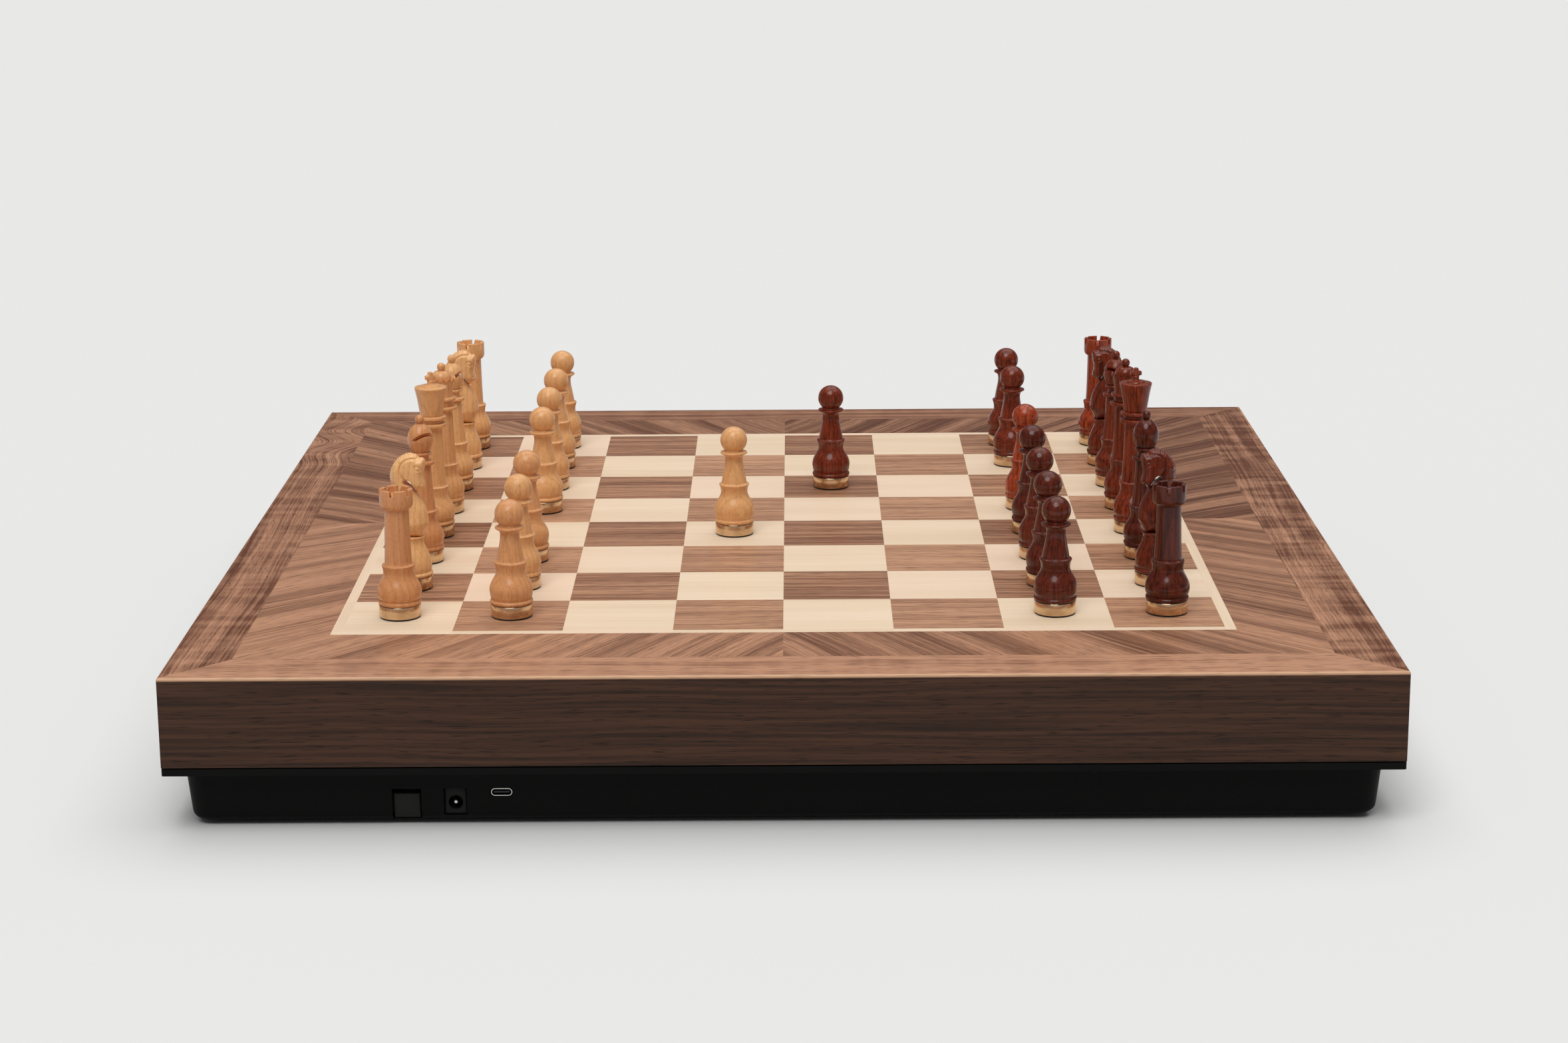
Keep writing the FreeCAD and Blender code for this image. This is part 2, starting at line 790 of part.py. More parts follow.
def rod_posts():
    """Posts that hold the rod ends and the shafts, and the saddle under the fixed motor."""
    posts = []
    for side_x in (-1, 1):
        for side_y in (-1, 1):
            near = side_y * (shaft_y - post_inboard)
            far = side_y * (shaft_y + shaft_radius + post_wall)
            post = block(about(side_x * rod_x, post_width), sorted((near, far)), (floor_z, post_roof_z))
            socket = sorted((0, side_y * rod_end))
            socket_start = Vector(side_x * rod_x, socket[0], rod_z)
            post = post.cut(rod(rod_radius + running_clearance, socket_start, Y_AXIS, rod_end))
            shaft_start = Vector(-board_half, side_y * shaft_y, rod_z)
            post = post.cut(rod(shaft_radius + running_clearance, shaft_start, X_AXIS, 2 * board_half))
            posts.append(post)
    saddle_depth = motor_side - 2 * motor_chamfer
    posts.append(block(about(lengthwise_motor_x, motor_length), about(shaft_y, saddle_depth),
                       (floor_z, floor_z + saddle_height)))
    return posts


def lengthwise_drive():
    reach = belt_x + belt_width / 2 + pulley_flange_thickness
    shaft = rod(shaft_radius, Vector(-reach, shaft_y, rod_z), X_AXIS, 2 * reach)
    drive = fused([shaft] + [pulley(Vector(side * belt_x, shaft_y, rod_z), X_AXIS) for side in (-1, 1)])
    axle_inner = rod_x - post_width / 2 - axle_overhang
    rods = []
    idlers = []
    belts = []
    for side in (-1, 1):
        rods.append(rod(rod_radius, Vector(side * rod_x, -rod_end, rod_z), Y_AXIS, 2 * rod_end))
        axle_start = Vector(min(side * axle_inner, side * reach), -shaft_y, rod_z)
        axle = rod(shaft_radius, axle_start, X_AXIS, reach - axle_inner)
        front = Vector(side * belt_x, -shaft_y, rod_z)
        back = Vector(side * belt_x, shaft_y, rod_z)
        idlers.append(fused([axle, pulley(front, X_AXIS)]))
        belts.append(belt_loop(front, back, X_AXIS))
    return {
        "guide_rods": rods,
        "rod_posts": rod_posts(),
        "y_motor": [motor(Vector(lengthwise_motor_x, shaft_y, rod_z), X_AXIS, (Y_AXIS, Z_AXIS))],
        "y_drive_shaft": [drive],
        "y_idler_pulleys": idlers,
        "y_belts": belts,
    }


# Gantry, crosswise drive and carriage, parked

def belt_jaws(run_z, x_span, y_span):
    """Two clamp jaws above and below the upper run of a belt, clear of it."""
    low = run_z - belt_thickness / 2 - sliding_clearance
    high = run_z + belt_thickness / 2 + sliding_clearance
    return [block(x_span, y_span, (low - clamp_jaw, low)), block(x_span, y_span, (high, high + clamp_jaw))]


def gantry_end(side):
    """Truck on the guide rod, its bush, and the bearing tower for the crosswise belt's shaft."""
    inner = side * (rod_x - truck_width / 2)
    outer = side * (rod_x + truck_width / 2)
    clamp_end = side * (belt_x + belt_width / 2)
    body_z = (rod_z - truck_below_rod, beam_bottom_z)
    body = block(sorted((inner, outer)), about(parked_y, truck_length), body_z)
    jaws = belt_jaws(rod_z + belt_pitch_radius, sorted((outer, clamp_end)), about(parked_y, clamp_length))
    bush_start = Vector(side * rod_x, parked_y - truck_length / 2, rod_z)
    seat = rod(bush_radius, bush_start, Y_AXIS, truck_length)
    bush = seat.cut(rod(rod_radius + running_clearance, bush_start, Y_AXIS, truck_length))
    tower_x = sorted((side * guide_half, side * (guide_half + tower_width)))
    tower_y = (parked_y - beam_width / 2, parked_y + truck_length / 2)
    tower = block(tower_x, tower_y, (beam_top_z, beam_top_z + tower_height))
    bore_start = Vector(side * cross_pulley_x, tower_y[0], cross_pulley_z)
    bore = rod(shaft_radius + running_clearance, bore_start, Y_AXIS, tower_y[1] - tower_y[0])
    return [fused([body] + jaws).cut(seat), bush, tower.cut(bore)]


def gantry_beam():
    beam_half = rod_x + truck_width / 2
    beam = block((-beam_half, beam_half), about(parked_y, beam_width), (beam_bottom_z, beam_top_z))
    guide = block((-guide_half, guide_half), about(parked_y, guide_width), (beam_top_z, guide_top_z))
    return [beam, guide] + gantry_end(-1) + gantry_end(1)


def cross_pulley(side, shaft_end_y):
    middle = Vector(side * cross_pulley_x, cross_belt_y, cross_pulley_z)
    shaft_start = middle - Y_AXIS * (belt_width / 2 + pulley_flange_thickness)
    shaft = rod(shaft_radius, shaft_start, Y_AXIS, shaft_end_y - shaft_start.y)
    return fused([shaft, pulley(middle, Y_AXIS)])


def x_carriage():
    """Block on the guide with a belt clamp in front and the lift coil in its bore."""
    x_span = about(parked_x, carriage_length)
    y_span = about(parked_y, carriage_width)
    body = block(x_span, y_span, (carriage_bottom_z, carriage_top_z))
    channel = block(x_span, about(parked_y, guide_width + 2 * sliding_clearance),
                    (beam_top_z, guide_top_z + sliding_clearance))
    clamp_y = (cross_belt_y - belt_width / 2, y_span[0])
    jaws = belt_jaws(cross_pulley_z + belt_pitch_radius, about(parked_x, clamp_length), clamp_y)
    coil_start = Vector(parked_x, parked_y, coil_floor_z)
    coil_height = carriage_top_z - coil_floor_z
    well = rod(coil_radius, coil_start, Z_AXIS, coil_height)
    coil = well.cut(rod(coil_bore_radius, coil_start, Z_AXIS, coil_height))
    return [fused([body] + jaws).cut(channel).cut(well), coil]


def magnet_head():
    cap_z = magnet_top_z - magnet_cap
    cup = rod(magnet_radius, Vector(parked_x, parked_y, magnet_bottom_z), Z_AXIS, cap_z - magnet_bottom_z)
    magnet = rod(magnet_radius, Vector(parked_x, parked_y, cap_z), Z_AXIS, magnet_cap)
    return [cup, magnet]


def crosswise_drive():
    left = Vector(-cross_pulley_x, cross_belt_y, cross_pulley_z)
    right = Vector(cross_pulley_x, cross_belt_y, cross_pulley_z)
    motor_middle = Vector(cross_pulley_x, cross_motor_y, cross_pulley_z)
    return {
        "gantry_beam": gantry_beam(),
        "x_motor": [motor(motor_middle, Y_AXIS, (X_AXIS, Z_AXIS))],
        "x_drive_pulley": [cross_pulley(1, cross_motor_y)],
        "x_idler_pulley": [cross_pulley(-1, parked_y + truck_length / 2)],
        "x_belt": [belt_loop(left, right, Y_AXIS)],
        "x_carriage": x_carriage(),
        "magnet_head": magnet_head(),
    }


# Chess pieces, each standing at the origin with its foot at height 0

def weighted_base():
    """Felt pad, brass foot and the magnet let into the foot."""
    felt = rod(base_radius - felt_inset, ORIGIN, Z_AXIS, felt_thickness)
    seat = Vector(0, 0, felt_thickness)
    magnet = rod(base_magnet_radius, seat, Z_AXIS, base_magnet_height)
    foot = rod(base_radius, seat, Z_AXIS, base_height).cut(magnet)
    return [foot, magnet, felt]


def bead_steps():
    """Bead and groove at the foot of the wood."""
    swell = bead_height / 4
    rim = bead_radius - swell
    return [(rim, base_top_z, 0), (rim, bead_top_z, swell),
            (groove_radius, bead_top_z, 0), (groove_radius, groove_top_z, 0)]


def pedestal_steps(ring_z, bulge_radius, neck_radius):
    """Bulge, neck and ring from the groove up to the foot of the stem."""
    neck_z = ring_z - neck_below_ring
    shoulder = (bulge_radius + neck_radius) / 2
    shoulder_z = groove_top_z + shoulder_share * (neck_z - groove_top_z)
    return bead_steps() + [
        (shoulder, shoulder_z, bulge_radius - (groove_radius + shoulder) / 2),
        (neck_radius, neck_z, -neck_hollow),
        (ring_radius, ring_z, -ring_flare),
        (ring_radius - ring_edge, ring_z + ring_height / 2, ring_edge),
        (stem_foot_radius, ring_z + ring_height, 0),
    ]


def collar_steps(collar, inner_below, inner_above):
    """A thin turned collar with a round edge, given as its radius and middle height."""
    radius, z = collar
    half = collar_height / 2
    rim = radius - half
    return [(inner_below, z - half, 0), (rim, z - half, 0), (rim, z + half, half), (inner_above, z + half, 0)]


def ball_steps(radius, middle_z, start_radius):
    """Convex arc over a ball, from a circle of the start radius below its middle to its top."""
    start_z = middle_z - math.sqrt(radius ** 2 - start_radius ** 2)
    half_angle = (math.pi / 2 - math.atan2(start_z - middle_z, start_radius)) / 2
    return [(start_radius, start_z, 0), (0, middle_z + radius, radius * (1 - math.cos(half_angle)))]


def pawn():
    edge = pawn_collar_edge
    steps = pedestal_steps(pawn_ring_z, pawn_bulge_radius, pawn_neck_radius) + [
        (pawn_stem_radius, pawn_stem_top_z, -stem_hollow),
        (pawn_stem_radius + edge, pawn_stem_top_z + edge, 0),
        (pawn_collar_radius - edge / 2, pawn_collar_z - edge, -edge / 2),
        (pawn_collar_radius - edge / 2, pawn_collar_z + edge, edge / 2),
        (pawn_throat_radius, pawn_collar_z + 2 * edge, 0),
    ] + ball_steps(pawn_ball_radius, pawn_ball_z, pawn_throat_radius)
    return lathe(steps)


def rook():
    cup_floor = rook_height - rook_cup_depth
    body = lathe(pedestal_steps(rook_ring_z, rook_bulge_radius, rook_neck_radius) + [
        (rook_stem_radius, rook_stem_top_z, -stem_hollow),
        (rook_head_radius, rook_head_z, rook_head_swell),
        (rook_head_radius, rook_height - rook_lip, 0),
        (rook_head_radius - rook_lip, rook_height, 0),
        (rook_cup_radius, rook_height, 0),
        (rook_cup_radius, cup_floor, 0),
        (0, cup_floor, 0),
    ])
    for number in range(rook_slots):
        slot = block((rook_cup_radius / 2, 2 * rook_head_radius), about(0, rook_slot_width),
                     (cup_floor, rook_height + rook_lip))
        slot.rotate(ORIGIN, Z_AXIS, (number + 0.5) * 360 / rook_slots)
        body = body.cut(slot)
    return body


def bishop():
    chin_z = bishop_upper_collar[1] + collar_height / 2 + bishop_chin_rise
    steps = pedestal_steps(bishop_ring_z, bishop_bulge_radius, bishop_neck_radius)
    steps += [(bishop_stem_radius, bishop_stem_top_z, -stem_hollow)]
    steps += collar_steps(bishop_lower_collar, bishop_stem_radius, bishop_throat_radius)
    steps += collar_steps(bishop_upper_collar, bishop_throat_radius, bishop_throat_radius)
    steps += [
        (bishop_chin_radius, chin_z, 0),
        (bishop_head_radius, bishop_head_z, bishop_swells[0]),
        (bishop_brow_radius, bishop_brow_z, bishop_swells[1]),
        (bishop_tip_radius, bishop_tip_z, bishop_swells[2]),
    ] + ball_steps(bishop_ball_radius, bishop_ball_z, bishop_tip_radius)
    slit = block((0, 2 * bishop_head_radius), about(0, 2 * bishop_head_radius), about(0, bishop_slit_width))
    slit.rotate(ORIGIN, Y_AXIS, -bishop_slit_slant)
    slit.translate(Vector(bishop_head_radius - bishop_slit_depth, 0, bishop_head_z))
    return lathe(steps).cut(slit)


def queen():
    cup_radius = queen_rim_radius - queen_rim_wall
    valley_z = queen_rim_z - queen_point_depth
    steps = pedestal_steps(queen_ring_z, queen_bulge_radius, queen_neck_radius)
    steps += [(queen_stem_radius, queen_stem_top_z, -stem_hollow)]
    steps += collar_steps(queen_lower_collar, queen_stem_radius, queen_waist_radius)
    steps += collar_steps(queen_upper_collar, queen_waist_radius, queen_crown_foot_radius)
    steps += [
        (queen_rim_radius, queen_rim_z, -queen_crown_flare),
        (cup_radius, queen_rim_z, 0),
        (queen_dome_radius, queen_rim_z - queen_cup_depth, 0),
        (queen_ball_neck_radius, queen_dome_top_z, queen_dome_swell),
    ] + ball_steps(queen_ball_radius, queen_ball_z, queen_ball_neck_radius)
    body = lathe(steps)
    half_tooth = math.pi * queen_rim_radius / queen_points
    start_x = (cup_radius + queen_dome_radius) / 2
    upper_z = queen_rim_z + queen_notch_overshoot
    outline = [(start_x, -half_tooth, upper_z), (start_x, half_tooth, upper_z), (start_x, 0, valley_z)]
    for number in range(queen_points):
        notch = prism(outline, X_AXIS * (3 * queen_rim_wall))
        notch.rotate(ORIGIN, Z_AXIS, number * 360 / queen_points)
        body = body.cut(notch)
    return body


def king():
    lid_z = king_rim_z + king_rim_edge
    lid_top_z = lid_z + king_lid_height
    steps = pedestal_steps(king_ring_z, king_bulge_radius, king_neck_radius)
    steps += [(king_stem_radius, king_stem_top_z, -stem_hollow)]
    steps += collar_steps(king_lower_collar, king_stem_radius, king_waist_radius)
    steps += collar_steps(king_upper_collar, king_waist_radius, king_waist_radius)
    steps += [
        (king_rim_radius, king_rim_z, -king_crown_flare),
        (king_rim_radius - king_rim_edge, lid_z, 0),
        (king_lid_radius, lid_z, 0),
        (king_lid_radius, lid_top_z, 0),
        (king_finial_radius, lid_top_z, 0),
        (king_finial_radius, king_cross_z, 0),
        (0, king_cross_z, 0),
    ]
    middle = Vector(0, 0, king_cross_z)
    arm = king_cross_reach - king_cross_radius
    cross = []
    for direction in (Y_AXIS, Y_AXIS * -1, Z_AXIS):
        cross.append(rod(king_cross_radius, middle, direction, arm))
        cross.append(Part.makeSphere(king_cross_radius, middle + direction * arm))
    return lathe(steps).fuse(cross)


def knight():
    pedestal = lathe(bead_steps() + [
        (knight_shoulder_radius, knight_shoulder_z, knight_bulge_swell),
        (knight_waist_radius, knight_waist_z, -knight_waist_hollow),
        (knight_step_radius, knight_step_z, 0),
        (0, knight_step_z, 0),
    ])
    reach = knight_reach
    side = outline_solid(knight_side_view, lambda a, b: Vector(a, -reach, b), Y_AXIS * (2 * reach))
    front = outline_solid(knight_front_view, lambda a, b: Vector(-reach, a, b), X_AXIS * (2 * reach))
    return fused([side.common(front), pedestal])


def stood(solids, turn, x, y):
    """Copies of a piece's solids, turned about its axis and stood on the board."""
    copies = []
    for solid in solids:
        copy = solid.copy()
        copy.rotate(ORIGIN, Z_AXIS, turn)
        copy.translate(Vector(x, y, top_z))
        copies.append(copy)
    return copies


def chess_set():
    """All the pieces on their squares, keyed by node name."""
    turned = {"pawn": pawn(), "rook": rook(), "knight": knight(),
              "bishop": bishop(), "queen": queen(), "king": king()}
    base = weighted_base()
    middles = {(column, row): (x, y) for column, row, x, y in square_middles()}
    nodes = {}
    for colour, rank_column, pawn_column, facing in (
            ("white", 1, 2, light_facing), ("black", squares_per_side, squares_per_side - 1, dark_facing)):
        outset = back_rank_outset if colour == "black" else -back_rank_outset
        for row, (kind, letter) in enumerate(zip(back_rank, file_letters), 1):
            node = "_".join((colour, kind) if kind in ("king", "queen") else (colour, kind, letter))
            x, y = middles[rank_column, row]
            nodes[node] = stood([turned[kind]] + base, turns.get(node, facing), x + outset, y)
            node = "_".join((colour, "pawn", letter))
            x, y = middles[moved_pawn_columns.get(node, pawn_column), row]
            nodes[node] = stood([turned["pawn"]] + base, facing, x, y)
    return nodes


def write_nodes(nodes):
    os.makedirs("parts", exist_ok=True)
    for name, solids in nodes.items():
        shape = solids[0] if len(solids) == 1 else Part.makeCompound(solids)
        if not shape.isValid():
            raise ValueError(name + " is not a valid shape")
        shape.exportStep(os.path.join("parts", name + ".step"))
        print(name, len(shape.Solids), "solids", round(shape.Volume, 1), "mm3")


model = {}
for section in (frame_rails, playing_top, casing, electronics, lengthwise_drive, crosswise_drive, chess_set):
    model.update(section())
write_nodes(model)
print(len(model), "nodes, board side", 2 * board_half, "mm, top at", top_z, "mm")
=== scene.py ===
import math

import bmesh
import bpy
import numpy
from mathutils import Matrix, Vector
from mathutils.geometry import delaunay_2d_cdt


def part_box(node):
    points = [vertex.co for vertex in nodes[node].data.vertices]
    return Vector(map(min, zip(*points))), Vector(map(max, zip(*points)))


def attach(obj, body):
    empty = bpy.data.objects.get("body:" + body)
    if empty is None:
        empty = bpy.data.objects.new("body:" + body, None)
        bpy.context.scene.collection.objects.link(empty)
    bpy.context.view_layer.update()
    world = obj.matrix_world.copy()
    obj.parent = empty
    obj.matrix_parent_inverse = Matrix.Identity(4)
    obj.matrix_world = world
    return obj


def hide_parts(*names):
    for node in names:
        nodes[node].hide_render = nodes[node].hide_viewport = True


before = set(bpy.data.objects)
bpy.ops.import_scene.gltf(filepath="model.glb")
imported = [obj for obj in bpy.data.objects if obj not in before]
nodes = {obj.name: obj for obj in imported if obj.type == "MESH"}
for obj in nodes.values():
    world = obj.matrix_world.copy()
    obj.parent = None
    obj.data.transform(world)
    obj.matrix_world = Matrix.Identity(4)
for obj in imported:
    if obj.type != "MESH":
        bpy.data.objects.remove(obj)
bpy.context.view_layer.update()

# The looks of a wooden chessboard that moves its own pieces: inlaid veneers, lacquered turned
# pieces on brass feet, and a black plastic tray. Metres, apart from the outlines of the chess
# pieces, which are in millimetres above the board.

millimetre = 0.001

# Board
squares_per_side = 8
square_side = 0.048
squares_half = squares_per_side * square_side / 2
stringing_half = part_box("maple_inlay")[1].x
border_start = (squares_half + stringing_half) / 2
board_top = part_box("walnut_veneer")[1].z
edge_depth = 0.0009
edge_start = 0.00004

# Sockets in the front wall
jack_axis_z = 0.0096
jack_pin_radius = 0.00101
tongue_half_width = 0.0036
tongue_half_height = 0.0006
shell_lip = 0.0003

# Camera, floor and light
camera_place = (0.005654, -1.52358, 0.45366)
camera_turn = (75.784, 0.381, 0.119)
camera_lens = 73.15
camera_sensor = 36
floor_radius = 14.0
floor_sides = 96
floor_gap = 0.0003
floor_colour = (0.74, 0.74, 0.73, 1)
floor_roughness = 0.9
sky_colour = (0.16, 0.16, 0.165, 1)
lamps = [
    # name, direction it shines from, breadth in degrees, strength
    ("overhead", (0.1, 0.25, 1.0), 70, 1.68),
    ("front", (-0.12, -0.55, 0.9), 36, 1.60),
]

# Wood colours, each from its dark grain to its light ground
square_walnut = ((0.195, 0.078, 0.040, 1), (0.580, 0.312, 0.180, 1))
border_walnut = ((0.105, 0.032, 0.012, 1), (0.515, 0.262, 0.150, 1))
rail_walnut = ((0.125, 0.038, 0.015, 1), (0.515, 0.262, 0.152, 1))
# Walnut of the rails' outer faces, painted far darker than their tops for the shade that falls on them
shaded_apron_walnut = ((0.020, 0.008, 0.004, 1), (0.072, 0.029, 0.014, 1))
# Painted highlight: a light colour along the rounded top edge of the rails, where light catches it
painted_edge_highlight = (0.72, 0.45, 0.27, 1)
walnut_pore = (0.055, 0.028, 0.018, 1)
# Pores of the rails' outer faces, painted darker with them for shade
shaded_apron_pore = (0.006, 0.003, 0.002, 1)
maple_ground = ((0.745, 0.560, 0.380, 1), (0.885, 0.705, 0.520, 1))
maple_blush = (0.875, 0.650, 0.490, 1)
light_wood_warm = ((0.500, 0.195, 0.072, 1), (0.720, 0.320, 0.130, 1))
light_wood_pale = ((0.740, 0.350, 0.115, 1), (0.930, 0.540, 0.240, 1))
light_fleck = (0.36, 0.135, 0.05, 1)
dark_wood_deep = ((0.026, 0.004, 0.002, 1), (0.092, 0.014, 0.006, 1))
dark_wood_red = ((0.150, 0.020, 0.007, 1), (0.510, 0.078, 0.022, 1))
dark_pore = (0.012, 0.004, 0.003, 1)

# Finish of the board: a thin satin lacquer, duller and lower in its pores
satin = {"Coat_Weight": 0.05, "Coat_Roughness": 0.25, "Specular_IOR_Level": 0.2}
veneer_roughness = 0.40
rail_roughness = 0.42
pore_roughness = 0.14
pore_share = 0.6
pore_depth = 0.00008
maple_depth = 0.00002
# Share of the painted highlight in the colour of the rails' top edge
edge_highlight_share = 0.6

# Grain of the board, in waves per metre along it, across it and from seed to seed
sway_waves = (5.0, 12.0, 1.0)
band_waves_along = 2.0
line_waves = (9.0, 820.0, 1.0)
pore_waves = (85.0, 1900.0, 1.0)
curl_waves = (75.0, 22.0, 1.0)
maple_line_waves = (14.0, 1100.0, 1.0)
maple_band_waves = (4.0, 60.0, 1.0)
maple_fleck_waves = (300.0, 2400.0, 1.0)

# How the grain of the board sways, swirls, fans out and changes from place to place
sway_reach = 0.014
swirl_waves = 95.0
swirl_reach = 0.008
swirl_narrowness = 22.0
square_seeds = 9
maple_seeds = 7
apron_seed = 3.0
apron_stretch = 0.8
corner_offset = 0.31
fan_reach = (0.1, 0.4)
fan_spread = (0.8, 1.25)

# Grain of the chess pieces, in waves per metre across and up the piece
wander_waves = (60.0, 60.0, 14.0)
fleck_waves = (3600.0, 3600.0, 480.0)
streak_waves = (900.0, 900.0, 30.0)

# Growth rings of the chess pieces, their place in the log, and their lacquer
rings_per_metre = 420.0
ring_wander = 2.2
heart_distances = (0.012, 0.05)
late_wood_share = 0.30
turn_per_seed = 2.4
seed_range = 7
lacquer_roughness = 0.30
fleck_roughness = 0.1
fleck_depth = 0.00005

# Heights of a noise from 0 to 1 between which a feature comes in
band_edges = (0.34, 0.66)
line_edges = (0.30, 0.70)
pore_edges = (0.42, 0.31)
curl_edges = (0.35, 0.65)
maple_line_edges = (0.2, 0.7)
maple_band_edges = (0.25, 0.7)
maple_fleck_edges = (0.34, 0.26)
blush_edges = (0.3, 1.0)
late_wood_edges = (0.35, 0.95)
streak_edges = (0.30, 0.72)
fleck_edges = (0.40, 0.30)
patina_edges = (0.35, 0.75)
groove_edges = (0.2, 0.8)

# Shades that are added to the tone of a walnut
odd_row_shade = -0.30
square_shades = (0.13, 0.28)
border_shade = 0.01
right_shade = -0.068
back_shade = -0.145
apron_shade = 0.12
curl_shades = (-0.5, 0.35)

# Brass, felt, plastic and metal
brass_bright = (0.74, 0.55, 0.36, 1)
brass_patina = (0.52, 0.355, 0.215, 1)
brass_roughness = (0.09, 0.19)
brass_groove_waves = (0.02, 0.02, 9000.0)
brass_patina_waves = (130.0, 130.0, 260.0)
brass_depth = 0.000002
felt_waves = 3500.0
felt_roughness = 0.95
felt_depth = 0.0001
moulded_waves = 2600.0
moulded_depth = 0.00003
cloud_waves = 45.0
cloud_roughness = 0.12
scratch_roughness = 0.15
scratch_depth = 0.00001
drawn_waves = (400.0, 4000.0, 4000.0)

# Parts that every chess piece shares, in millimetres
felt_radius = 8.9
felt_top = 0.7
felt_edge = 0.2
brass_radius = 9.25
brass_top = 6.2
brass_edge = 0.35
wood_z = 6.25
bead_middle = 8.6
bead_bend = 0.95
groove_radius = 8.9
groove_z = 8.45
shoulder_inset = 0.3
shoulder_rise = 1.2
lip_bend = 0.45
lip_inset = 0.1
stem_foot_radius = 6.0
stem_foot_step = 0.25
collar_bend = 0.5
collar_flat = 1.2
collar_foot = 0.25
collar_head = 0.2
turned_edge = 0.12

# How the turned outlines curve, and how finely they are divided
belly_power = 1.25
flare_power = 2.2
stem_bend_height = 0.4
stem_bend_share = 0.55
piece_columns = 72
curve_steps = 5
arc_steps = 10
weld = 0.001


class Surface:
    """The node tree of one material. Its methods take sockets or plain numbers and give sockets."""

    def __init__(self, name, **constants):
        self.material = bpy.data.materials.new(name)
        self.material.use_nodes = True
        self.tree = self.material.node_tree
        self.shader = self.tree.nodes["Principled BSDF"]
        for socket, value in constants.items():
            self.shader.inputs[socket.replace("_", " ")].default_value = value

    def put(self, socket, value):
        if isinstance(value, bpy.types.NodeSocket):
            self.tree.links.new(value, socket)
        else:
            socket.default_value = value

    def node(self, kind, inputs, output=0, **settings):
        made = self.tree.nodes.new("ShaderNode" + kind)
        for key, value in settings.items():
            setattr(made, key, value)
        for key, value in inputs.items():
            self.put(made.inputs[key], value)
        return made.outputs[output]

    def math(self, operation, *values):
        return self.node("Math", dict(enumerate(values)), operation=operation)

    def add(self, first, second):
        return self.math("ADD", first, second)

    def times(self, first, second):
        return self.math("MULTIPLY", first, second)

    def less(self, first, second):
        return self.math("SUBTRACT", first, second)

    def below(self, value, limit):
        return self.math("LESS_THAN", value, limit)

    def size(self, value):
        return self.math("ABSOLUTE", value)

    def sign(self, value):
        return self.math("SIGN", value)

    def length(self, first, second):
        return self.math("SQRT", self.add(self.times(first, first), self.times(second, second)))

    def mix(self, amount, first, second):
        """The first colour where amount is 0, the second where it is 1."""
        return self.node("Mix", {0: amount, 6: first, 7: second}, 2, data_type="RGBA")

    def choose(self, amount, first, second):
        """As mix, for plain values."""
        return self.node("Mix", {0: amount, 2: first, 3: second}, 0, data_type="FLOAT")

    def span(self, value, low, high, start=0.0, end=1.0):
        """Runs smoothly from start to end as the value goes from low to high."""
        return self.node("MapRange", {0: value, 1: low, 2: high, 3: start, 4: end},
                         interpolation_type="SMOOTHSTEP")

    def here(self):
        return self.node("TexCoord", {}, "Object")

    def place(self, x, y, z):
        return self.node("CombineXYZ", {0: x, 1: y, 2: z})

    def split(self, vector):
        parts = self.tree.nodes.new("ShaderNodeSeparateXYZ")
        self.put(parts.inputs[0], vector)
        return parts.outputs

    def noise(self, vector, waves, detail=2.0):
        """Noise between 0 and 1, with so many waves per metre along each axis."""
        stretched = self.node("VectorMath", {0: vector, 1: waves}, operation="MULTIPLY")
        return self.node("TexNoise", {"Vector": stretched, "Scale": 1.0, "Detail": detail}, "Fac")

    def even_noise(self, waves, detail=2.0):
        return self.noise(self.here(), (waves, waves, waves), detail)

    def square_of_board(self):
        """The column and row of the square that a point lies on, and three chances of its own."""
        per_metre = 1 / square_side
        scaled = self.node("VectorMath", {0: self.here(), 1: (per_metre, per_metre, 0)}, operation="MULTIPLY")
        cell = self.node("VectorMath", {0: scaled}, operation="FLOOR")
        chance = self.node("TexWhiteNoise", {"Vector": cell}, "Color", noise_dimensions="3D")
        return self.split(cell), self.split(chance)

    def property(self, name):
        return self.node("Attribute", {}, "Fac", attribute_type="OBJECT", attribute_name=name)

    def finish(self, colour, roughness, relief=None, depth=0.0):
        self.put(self.shader.inputs["Base Color"], colour)
        self.put(self.shader.inputs["Roughness"], roughness)
        if relief is not None:
            bump = self.node("Bump", {"Height": relief, "Distance": depth}, "Normal")
            self.put(self.shader.inputs["Normal"], bump)
        return self.material

    def finish_wood(self, colour, roughness, pits):
        """Finishes a wood whose pores are duller and lower than the rest."""
        return self.finish(colour, self.add(self.times(pits, pore_roughness), roughness),
                           self.times(pits, -1.0), pore_depth)


def walnut(s, along, across, seed, shade, colours, stripe, pitch, pore=walnut_pore):
    """Colour and pores of walnut. Stripe is the share of broad bands in it, pitch their waves per metre."""
    dark, light = colours
    sway = s.noise(s.place(along, across, seed), sway_waves, 1)
    grain = s.place(along, s.add(across, s.times(sway, sway_reach)), seed)
    bands = s.noise(grain, (band_waves_along, pitch, 1.0), 3)
    lines = s.noise(grain, line_waves, 3)
    pores = s.noise(grain, pore_waves, 1)
    figure = s.add(s.span(bands, *band_edges, 0.0, stripe), s.span(lines, *line_edges, 0.0, 1 - stripe))
    tone = s.add(figure, shade)
    tone.node.use_clamp = True
    pits = s.span(pores, *pore_edges)
    colour = s.mix(s.times(pits, pore_share), s.mix(tone, dark, light), pore)
    return colour, pits


